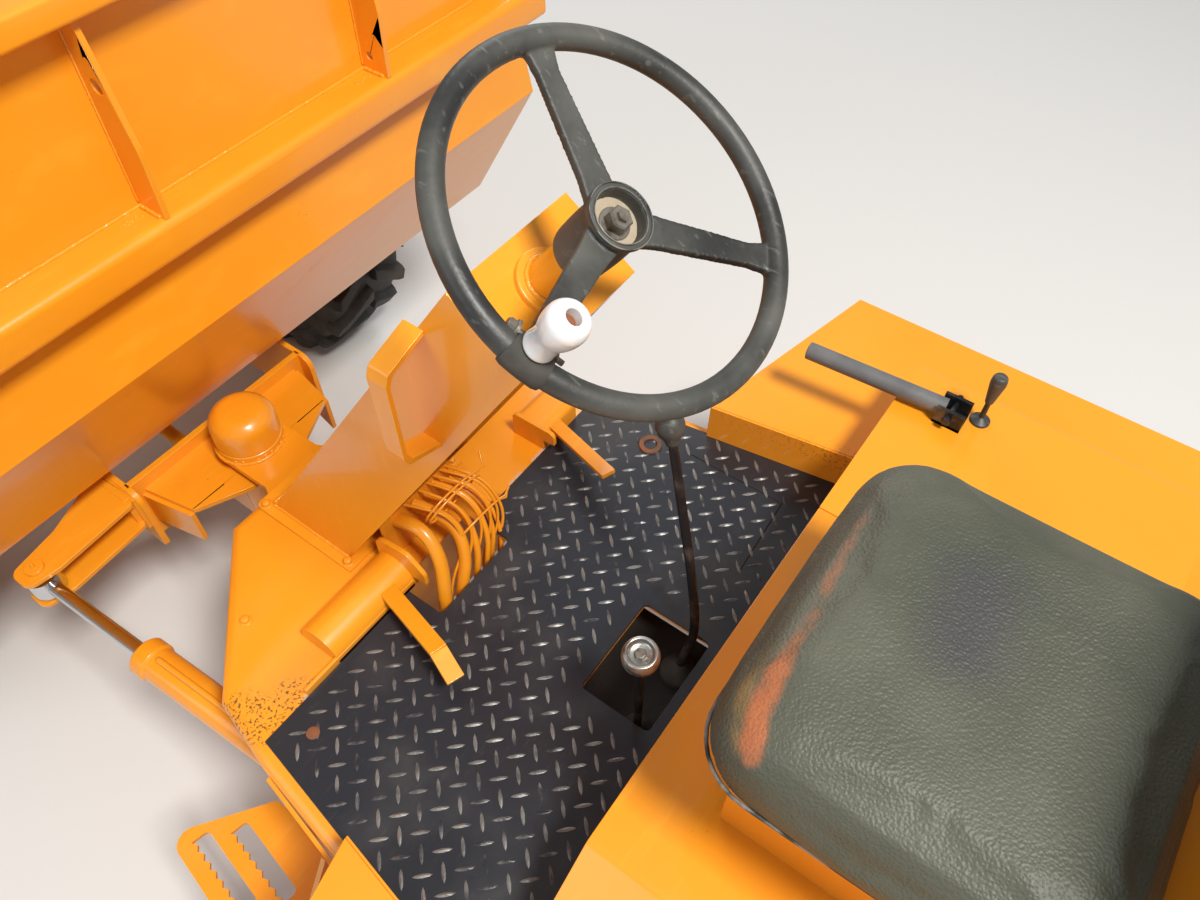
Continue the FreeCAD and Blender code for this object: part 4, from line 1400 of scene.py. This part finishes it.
def seat_cushion():
    low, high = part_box("seat_cushion")
    half = high.x - PAD_ROOM
    front, back = high.y - PAD_ROOM, low.y + PAD_ROOM
    front_r, back_r = 0.075, 0.065
    z0, z1 = low.z + 0.001, high.z

    def ring(inset, height):
        return outline_loop(half - inset, front - inset, back + inset, front_r, back_r), height
    piece = pad_form("seat_pad", [
        ring(0.006, z0), ring(0.0, z0 + 0.012), ring(0.0, z0 + 0.040), ring(0.006, z0 + 0.066),
        ring(0.020, z0 + 0.086), ring(0.046, z1 - 0.009), ring(0.090, z1 - 0.006)], Matrix.Identity(4))
    puffed(piece, lambda co: co.z < z0 + FLAT_BELOW)
    # a shallow hollow where the driver sits
    for vertex in piece.data.vertices:
        x, y = vertex.co.x / half, (vertex.co.y - (front + back) / 2) / ((front - back) / 2)
        if vertex.co.z > z0 + 0.05:
            vertex.co.z -= 0.006 * math.exp(-((x * 1.6) ** 2 + ((y + 0.15) * 1.5) ** 2))
    boxed(piece, low, high)
    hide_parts("seat_cushion")
    welt("seat_welt", half, front, back, front_r, back_r, Matrix.Identity(4), z0 + WELT_UP)


def seat_back():
    low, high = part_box("seat_back")
    place = Matrix.Translation((0, low.y, (low.z + high.z) / 2)) @ Matrix.Rotation(math.radians(-90), 4, "X")
    half, tall = high.x - PAD_ROOM, (high.z - low.z) / 2 - PAD_ROOM
    deep = high.y - low.y
    top_r, foot_r = 0.062, 0.088

    def ring(inset, height):
        return outline_loop(half - inset, tall - inset, -tall + inset, top_r, foot_r), height
    piece = pad_form("seat_back_pad", [
        ring(0.006, 0.001), ring(0.0, 0.012), ring(0.0, 0.034), ring(0.008, 0.056), ring(0.024, 0.072),
        ring(0.060, deep - 0.007), ring(0.100, deep - 0.004)], place)
    puffed(piece, lambda co: co.y < low.y + FLAT_BELOW)
    boxed(piece, low, high)
    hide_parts("seat_back")
    welt("seat_back_welt", half, tall, -tall, top_r, foot_r, place, WELT_UP)


seat_cushion()
seat_back()


# Wheels: tyres with chevron lugs, and what is bolted to the rims
LUG_PITCH = 10.0


def wheel_centre(side, y):
    return Vector((side * WHEEL_MID * MM, y * MM, AXLE_Z * MM))


def tyre(name, side, y):
    mesh = bmesh.new()
    place = Matrix.Translation(wheel_centre(side, y)) @ Matrix.Rotation(math.radians(90), 4, "Y")
    wall = rounded([(0.1955, 0.103), (0.2065, 0.1045, 0.004), (0.214, 0.112, 0.003), (0.222, 0.1195, 0.004),
                    (0.262, 0.1305, 0.030), (0.318, 0.1295, 0.020), (0.346, 0.122, 0.012),
                    (0.353, 0.098, 0.010), (0.354, 0.0)], 4)
    profile = [(r, -x) for r, x in wall] + [(r, x) for r, x in reversed(wall[:-1])]
    profile.append(profile[0])
    lathe(mesh, profile, place, 108)
    for hand in BOTH:
        for r, x in ((0.232, 0.1235), (0.300, 0.1302)):
            ring = [place @ Vector((r * math.cos(a), r * math.sin(a), hand * (x + 0.0002)))
                    for a in (math.radians(k * 4) for k in range(90))]
            sweep(mesh, ring, 0.0016, 5, closed=True)
    made(name + "_carcass", mesh, name + "_wheel", "tyre_rubber", (name + "_tyre",), smooth=35)


def tyre_lugs(name, side, y):
    """Chevron bars, each a bent wedge from the crown down over the shoulder."""
    mesh = bmesh.new()
    place = Matrix.Translation(wheel_centre(side, y)) @ Matrix.Rotation(math.radians(90), 4, "Y")

    def spot(radius, x, degrees):
        a = math.radians(degrees)
        return place @ Vector((-radius * math.sin(a), radius * math.cos(a), x))

    # columns: distance from the middle plane, turn from the crown, radius at top and base, half angle there
    run = ((0.006, 0.0, 0.3800, 0.350, 3.1, 4.3), (0.030, 2.4, 0.3798, 0.350, 3.0, 4.2),
           (0.062, 6.4, 0.3792, 0.350, 3.0, 4.2), (0.095, 10.6, 0.3785, 0.348, 3.2, 4.3),
           (0.122, 13.6, 0.3755, 0.340, 3.4, 4.4), (0.1285, 14.0, 0.3600, 0.325, 3.4, 4.2),
           (0.1305, 14.0, 0.3380, 0.300, 3.2, 3.8))
    for hand, first in ((1, 0), (-1, 1)):
        for k in range(first, 36, 2):
            middle = (k + 0.5) * LUG_PITCH
            rows = []
            for x, turn, top, base, half_top, half_base in run:
                a = middle + turn
                low_x = x if x < 0.121 else x - 0.012
                rows.append([mesh.verts.new(spot(base, hand * low_x, a - half_base)),
                             mesh.verts.new(spot(top, hand * x, a - half_top)),
                             mesh.verts.new(spot(top, hand * x, a + half_top)),
                             mesh.verts.new(spot(base, hand * low_x, a + half_base))])
            for first_row, second_row in zip(rows, rows[1:]):
                for j in range(4):
                    n = (j + 1) % 4
                    mesh.faces.new((first_row[j], first_row[n], second_row[n], second_row[j]))
            mesh.faces.new(rows[0][::-1])
            mesh.faces.new(rows[-1])
    bmesh.ops.recalc_face_normals(mesh, faces=mesh.faces)
    made(name + "_lugs", mesh, name + "_wheel", "tyre_rubber", smooth=40, bevel=0.0022)


def wheel_bolts(name, side, y):
    mesh = bmesh.new()
    out = Vector((side, 0, 0))
    centre = wheel_centre(side, y)
    for k in range(8):
        a = math.radians(22.5 + 45 * k)
        spot = centre + out * -0.012 + Vector((0, math.cos(a), math.sin(a))) * 0.1085
        bolt(mesh, spot, out, 0.022, stud=0.006)
    for k in range(6):
        a = math.radians(60 * k)
        bolt(mesh, centre + out * 0.0355 + Vector((0, math.cos(a), math.sin(a))) * 0.030, out, 0.010,
             washer=False)
    made(name + "_bolts", mesh, name + "_wheel", "orange_paint", smooth=30)
    mesh = bmesh.new()
    stem = centre + out * 0.050 + Vector((0, 0.0, 0.1725))
    sweep(mesh, [stem, stem + out * 0.02 + Vector((0, 0, -0.004)),
                 stem + out * 0.036 + Vector((0, 0, -0.014))],
          [0.0040, 0.0036, 0.0036], 10)
    made(name + "_valve", mesh, name + "_wheel", "tyre_rubber", smooth=50)


for name, side, y in WHEELS:
    tyre(name, side, y)
    tyre_lugs(name, side, y)
    wheel_bolts(name, side, y)


# Pivot: domed cap over the pin, with its seam and drips of weld
def dome():
    mesh = bmesh.new()
    pivot_y, seam_z = PIVOT_Y * MM, TONGUE_Z * MM
    place = Matrix.Translation((0, pivot_y, seam_z))
    lathe(mesh, rounded([(0, -0.275), (0.030, -0.275), (0.030, 0.0), (0.065, 0.0), (0.0650, 0.0165, 0.0015),
                         (0.0632, 0.0178, 0.0008), (0.0632, 0.0195, 0.0008), (0.0642, 0.0210, 0.0015),
                         (0.0638, 0.0560, 0.012), (0.0610, 0.0720, 0.018), (0.0440, 0.0890, 0.024),
                         (0.0200, 0.0918, 0.012), (0, 0.092)], 7), place, 72)
    made("pivot_dome", mesh, "rear_unit", "orange_paint", ("pivot_pin",), smooth=50)
    mesh = bmesh.new()
    turn = [Vector((0.0665 * math.cos(a), pivot_y + 0.0665 * math.sin(a), seam_z + 0.0015)) for a in (
        math.radians(150 + 6 * k) for k in range(26))]
    bead(mesh, turn, 0.0075, 7, pitch=0.0036)
    luck = random.Random(12)
    for k in range(9):
        a = math.radians(205 + 13 * k)
        r = 0.0655
        blob = Vector((r * math.cos(a), pivot_y + r * math.sin(a), seam_z + 0.001 + 0.010 * luck.random()))
        lathe(mesh, rounded([(0, -0.003), (0.004 + 0.002 * luck.random(), 0, 0.002), (0, 0.0035)]),
              upright(blob, (math.cos(a), math.sin(a), 0.2)), 8)
    made("pivot_weld", mesh, "rear_unit", "orange_paint", smooth=60)


dome()


# Hoses: from the console's board over and down through the floor slot, tied in a bundle
def strand(name, points, radius, slot):
    """Round cord or bar on the rear unit, smooth through its points."""
    data = bpy.data.curves.new(name, "CURVE")
    data.dimensions = "3D"
    line = data.splines.new("NURBS")
    line.points.add(len(points) - 1)
    for point, where in zip(line.points, points):
        point.co = (*where, 1)
    line.use_endpoint_u = True
    line.order_u = 3
    line.resolution_u = 10
    data.bevel_depth = radius
    data.bevel_resolution = 4
    data.use_fill_caps = True
    piece = bpy.data.objects.new(name, data)
    bpy.context.scene.collection.objects.link(piece)
    dress(piece, slot)
    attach(piece, "rear_unit")


def hoses():
    # radius and way of two fat hoses and four thin ones
    runs = ((0.0118, [(-0.052, -0.262, 0.806), (-0.050, -0.296, 0.824), (-0.049, -0.330, 0.812),
                      (-0.060, -0.360, 0.775),
                      (-0.082, -0.376, 0.715), (-0.086, -0.377, 0.660), (-0.086, -0.377, 0.600)]),
            (0.0110, [(-0.014, -0.262, 0.806), (-0.002, -0.298, 0.800), (0.006, -0.335, 0.778),
                      (-0.014, -0.366, 0.738),
                      (-0.042, -0.376, 0.700), (-0.050, -0.377, 0.650), (-0.052, -0.376, 0.600)]),
            (0.0062, [(0.014, -0.262, 0.797), (0.024, -0.296, 0.800), (0.030, -0.335, 0.782),
                      (0.014, -0.368, 0.735), (-0.008, -0.378, 0.690), (-0.020, -0.379, 0.600)]),
            (0.0050, [(0.034, -0.262, 0.812), (0.046, -0.296, 0.812), (0.054, -0.336, 0.788),
                      (0.040, -0.370, 0.740), (0.014, -0.380, 0.690), (0.004, -0.381, 0.600)]),
            (0.0045, [(0.050, -0.262, 0.798), (0.060, -0.292, 0.800), (0.070, -0.336, 0.775),
                      (0.058, -0.366, 0.735), (0.034, -0.374, 0.690), (0.024, -0.375, 0.600)]),
            (0.0040, [(0.062, -0.262, 0.816), (0.070, -0.296, 0.810), (0.080, -0.340, 0.770),
                      (0.068, -0.372, 0.725), (0.052, -0.380, 0.680), (0.042, -0.380, 0.600)]))
    for k, (radius, points) in enumerate(runs):
        strand("hose_%d" % k, points, radius, "orange_paint")
    # columns for the thin cables over them: start across and its height, furthest right, foot across
    for k, (x, z, bow, foot_x) in enumerate(((-0.034, 0.826, 0.000, -0.062), (0.000, 0.828, 0.022, -0.026),
                                             (0.020, 0.826, 0.044, -0.002), (0.036, 0.828, 0.066, 0.020),
                                             (0.052, 0.826, 0.082, 0.040), (0.066, 0.822, 0.090, 0.060))):
        strand("cable_%d" % k, [(x, -0.258, z), (x + 0.3 * (bow - x), -0.290, z + 0.004),
                                (bow, -0.328, z - 0.012),
                                (bow, -0.356 - 0.002 * k, z - 0.066), (foot_x, -0.364 - 0.001 * k, 0.700),
                                (foot_x, -0.366, 0.640)], 0.0024 + 0.0004 * (k % 2), "orange_paint")
    # wire wound round the bundle with its twisted ends, and a second tie lower down
    mesh = bmesh.new()
    # columns: middle, half width, half height, rounds
    for (x, y, z), half_x, half_z, rounds in (((0.030, -0.316, 0.812), 0.058, 0.024, 2),
                                              ((0.044, -0.352, 0.770), 0.046, 0.016, 1)):
        loop = [Vector((x + half_x * math.cos(a), y + 0.004 * a / math.pi - 0.006 * math.sin(a),
                        z + half_z * math.sin(a))) for a in (math.radians(12 * k)
                                                             for k in range(30 * rounds))]
        sweep(mesh, loop, 0.0021, 8)
    for start, end in (((0.086, -0.312, 0.816), (0.112, -0.300, 0.842)),
                       ((0.088, -0.350, 0.772), (0.122, -0.344, 0.760)),
                       ((0.088, -0.350, 0.772), (0.118, -0.352, 0.778))):
        middle = ((start[0] + end[0]) / 2, start[1] - 0.006, (start[2] + end[2]) / 2)
        sweep(mesh, [start, middle, end], 0.0019, 7)
    made("hose_ties", mesh, "rear_unit", "orange_paint", smooth=60)


hoses()


# Levers: worn gear stick with its ball, turned knob on the small lever, rubber grip of the hand lever
def levers():
    unit, foot_y, foot_z = "rear_unit", -0.738, 0.640
    x = 0.062
    spun("gear_boot", rounded([(0, 0), (0.030, 0), (0.030, 0.012, 0.003), (0.015, 0.028, 0.005),
                               (0.0075, 0.034),
                               (0, 0.034)]), upright((x, foot_y, foot_z)), unit, "tyre_rubber", 32, 50)
    strand("gear_stick", [(x, foot_y, 0.655), (0.066, -0.741, 0.700), (0.086, -0.747, 0.750),
                          (0.112, -0.713, 0.850), (0.146, -0.665, 0.950), (0.176, -0.620, 1.052)], 0.0072,
           "lever_steel")
    along = Vector((0.176 - 0.146, -0.620 + 0.665, 1.052 - 0.950)).normalized()
    spun("gear_ball", rounded([(0, -0.012), (0.0095, -0.012, 0.002), (0.0115, -0.004, 0.004),
                               (0.0215, 0.010, 0.010),
                               (0.0215, 0.026, 0.010), (0.0120, 0.0385, 0.010), (0, 0.040)], 7),
         upright((0.176, -0.620, 1.050), along), unit, "black_grip", 40, 60)
    x = -0.056
    spun("small_boot", rounded([(0, 0), (0.024, 0), (0.024, 0.010, 0.003), (0.012, 0.022, 0.004),
                                (0.0065, 0.026),
                                (0, 0.026)]), upright((x, foot_y, foot_z)), unit, "tyre_rubber", 32, 50)
    strand("small_stick", [(x, foot_y, 0.650), (-0.057, foot_y, 0.700), (-0.068, -0.742, 0.820),
                           (-0.077, -0.745, 0.930)], 0.0062, "lever_steel")
    stand = upright((-0.077, -0.745, 0.928), Vector((-0.019, -0.006, 0.228)).normalized())
    spun("small_knob", rounded([(0, -0.006), (0.009, -0.006), (0.010, 0.002, 0.003), (0.0255, 0.008, 0.005),
                                (0.0260, 0.022, 0.005), (0.0225, 0.0315, 0.003), (0.0185, 0.0315, 0.003),
                                (0.0165, 0.024, 0.004), (0.0060, 0.022), (0, 0.022)], 6), stand, unit,
         "worn_chrome", 48, 50)
    spun("small_knob_nut", rounded([(0, 0.0215), (0.0085, 0.0215), (0.0085, 0.0275, 0.001),
                                    (0.0070, 0.029, 0.001), (0, 0.029)]), stand, unit, "worn_zinc", 6, 30)


def hand_lever():
    start = Vector((0.557, -0.656, 0.925))
    run = Vector((0.5737, -0.895, 0.925)) - start
    stand = upright(start, run.normalized())
    spun("hand_grip", rounded([(0, 0), (0.0118, 0), (0.0150, 0.0006, 0.003), (0.0150, run.length - 0.03),
                               (0.0150, run.length), (0, run.length)]), stand, "rear_unit", "dusty_rubber",
                               36, 45)
    mesh = bmesh.new()
    lathe(mesh, [(0, 0.0002), (0.0112, 0.0002), (0.0112, -0.0004), (0, -0.0004)], stand, 28)
    # the clamp's floor and its two cheeks: left, right, top
    for x0, x1, z1 in ((0.552, 0.594, 0.911), (0.552, 0.558, 0.940), (0.588, 0.594, 0.940)):
        crate(mesh, (x0, -0.930, 0.905), (x1, -0.884, z1))
    left, right = (0.548, -0.906, 0.926), (0.598, -0.906, 0.926)
    sweep(mesh, [left, right], 0.005, 14)
    bolt(mesh, left, (-1, 0, 0), 0.013, washer=False)
    bolt(mesh, right, (1, 0, 0), 0.013, washer=False, stud=0.004)
    made("hand_lever_clamp", mesh, "rear_unit", "lever_steel", smooth=30, bevel=0.0006)


def skip_lever():
    spun("skip_stick", rounded([(0, 0), (0.016, 0), (0.016, 0.004, 0.001), (0.009, 0.008, 0.003),
                                (0.0045, 0.011),
                                (0.0042, 0.044), (0.0065, 0.046, 0.001), (0.0085, 0.060, 0.010),
                                (0.0130, 0.092, 0.010), (0.0110, 0.1055, 0.007), (0, 0.106)], 6),
         upright((0.598, -0.948, DECK_Z * MM)), "rear_unit", "black_grip", 28, 50)


levers()
hand_lever()
skip_lever()


# Weld beads, bolts and nuts that hold the sheet work together
def console_trim():
    mesh = bmesh.new()
    foot, z = 0.120, 0.7262
    for seed, x in ((2, -foot - 0.001), (3, foot + 0.001)):
        bead(mesh, [(x, -0.022, z), (x, -0.200, z)], 0.006, seed)
    bead(mesh, [(-foot, -0.019, z), (foot, -0.019, z)], 0.007, 4)
    # round the foot of the column's tube
    along = WHEEL.to_3x3() @ Vector((0, 0, 1))
    base = WHEEL.translation - along * 0.150
    side = along.orthogonal().normalized()
    up = along.cross(side)
    ring = [base + along * 0.0086 + (side * math.cos(a) + up * math.sin(a)) * 0.0245
            for a in (math.radians(10 * k) for k in range(37))]
    bead(mesh, ring, 0.006, 5)
    for y in (-0.012, -0.208):
        for x in (-0.129, 0.129):
            bolt(mesh, (x, y, 0.726), (0, 0, 1), 0.013)
    made("console_welds", mesh, "rear_unit", "orange_paint", smooth=60)


def skip_trim():
    mesh = bmesh.new()
    half, face, long_pitch = 0.846, 0.1785, 0.0046
    bead(mesh, [(-half, face, 1.2068), (half, face, 1.2068)], 0.0075, 11, long_pitch)
    bead(mesh, [(-half, 0.1790, 1.4945), (half, 0.1790, 1.4945)], 0.006, 12, long_pitch)
    for k, rib in enumerate(SKIP_RIBS):
        x = rib * MM
        for n, edge in enumerate((x, x + 0.009)):
            bead(mesh, [(edge, face, 1.212), (edge, face, 1.490)], 0.0045, 20 + 2 * k + n, 0.004)
        bead(mesh, [(x - 0.001, 0.176, 1.2075), (x - 0.001, 0.130, 1.2075)], 0.008, 30 + k)
        bead(mesh, [(x + 0.010, 0.176, 1.2070), (x + 0.010, 0.130, 1.2070)], 0.006, 40 + k)
        luck = random.Random(50 + k)
        for _ in range(7):
            spot = Vector((x - 0.012 - 0.03 * luck.random(), 0.150 + 0.028 * luck.random(), 1.206))
            lathe(mesh, rounded([(0, -0.001), (0.003 + 0.003 * luck.random(), 0, 0.002), (0, 0.0025)]),
                  upright(spot), 8)
    made("skip_welds", mesh, "skip_unit", "orange_paint", smooth=60)


console_trim()
skip_trim()


def nose_trim():
    mesh = bmesh.new()
    for side in BOTH:
        bead(mesh, [(side * 0.330, -0.3165, 0.7215), (side * 0.270, -0.3165, 0.7215)], 0.006, 60 + side)
    bead(mesh, [(-0.265, -0.2415, 0.7205), (-0.125, -0.2415, 0.7205)], 0.006, 62)
    for x in (-0.300, 0.300):
        bolt(mesh, (x, -0.150, 0.7198), (0, 0, 1), 0.013)
    made("nose_welds", mesh, "rear_unit", "orange_paint", smooth=60)


def pin_ends():
    """Grease nipples on the steering ram's pin and lock nuts on the skip's hinge pins."""
    mesh = bmesh.new()
    x, y = STEER_PIN
    for z, up in ((0.612, 1), (0.518, -1)):
        lathe(mesh, rounded([(0, 0), (0.0035, 0), (0.0035, 0.004, 0.001), (0.0022, 0.006),
                             (0.0030, 0.009, 0.001),
                             (0, 0.010)]), upright((x * MM, y * MM, z), (0, 0, up)), 12)
    for side in BOTH:
        bolt(mesh, (side * 0.265, HINGE[0] * MM, HINGE[1] * MM), (side, 0, 0), 0.019)
    made("front_pin_ends", mesh, "front_unit", "orange_paint", smooth=35)


nose_trim()
pin_ends()


# Stage: pale floor, soft studio light, camera at the photo's angle
def stage():
    bpy.ops.mesh.primitive_plane_add(size=60, location=(0, 0, 0))
    floor = bpy.context.object
    floor.name = "studio_floor"

    def pale():
        return {"Base Color": (0.72, 0.71, 0.69, 1), "Roughness": 0.9}
    floor.data.materials.append(finish("pale_floor", pale))
    world = bpy.data.worlds.new("studio")
    bpy.context.scene.world = world
    world.use_nodes = True
    sky = world.node_tree.nodes["Background"]
    sky.inputs["Color"].default_value = (0.93, 0.96, 1.0, 1)
    sky.inputs["Strength"].default_value = 0.36
    # columns: name, place, energy, size, colour
    for name, where, energy, size, tint in (
            ("key", (-0.6, -3.4, 6.0), 430, 1.1, (1.0, 0.97, 0.92)),
            ("fill", (-5.0, 1.5, 4.0), 95, 4.0, (0.92, 0.96, 1.0)),
            ("rim", (4.5, 3.5, 4.5), 110, 3.0, (1.0, 1.0, 1.0))):
        light = bpy.data.lights.new(name, "AREA")
        light.energy = energy
        light.size = size
        light.color = tint
        lamp = bpy.data.objects.new(name, light)
        lamp.location = where
        lamp.rotation_euler = (Vector((0, -0.2, 0.8)) - Vector(where)).to_track_quat("-Z", "Y").to_euler()
        bpy.context.scene.collection.objects.link(lamp)
    bpy.context.scene.view_settings.view_transform = "Standard"


CAMERA_AT, LENS, SENSOR = (-0.553, -1.012, 2.0741), 28.38, 36
# axis of the camera's turn, as long as its angle
CAMERA_TURN = Vector((2.2484, -1.1517, 0.4035))


def camera():
    turn = Matrix.Rotation(CAMERA_TURN.length, 3, CAMERA_TURN.normalized())
    right, down, ahead = (Vector(row) for row in turn)
    lens = bpy.data.cameras.new("photo_view")
    lens.sensor_width = SENSOR
    lens.lens = LENS
    view = bpy.data.objects.new("photo_view", lens)
    view.matrix_world = Matrix.Translation(CAMERA_AT) @ Matrix((right, -down, -ahead)).transposed().to_4x4()
    bpy.context.scene.collection.objects.link(view)
    bpy.context.scene.camera = view


stage()
camera()
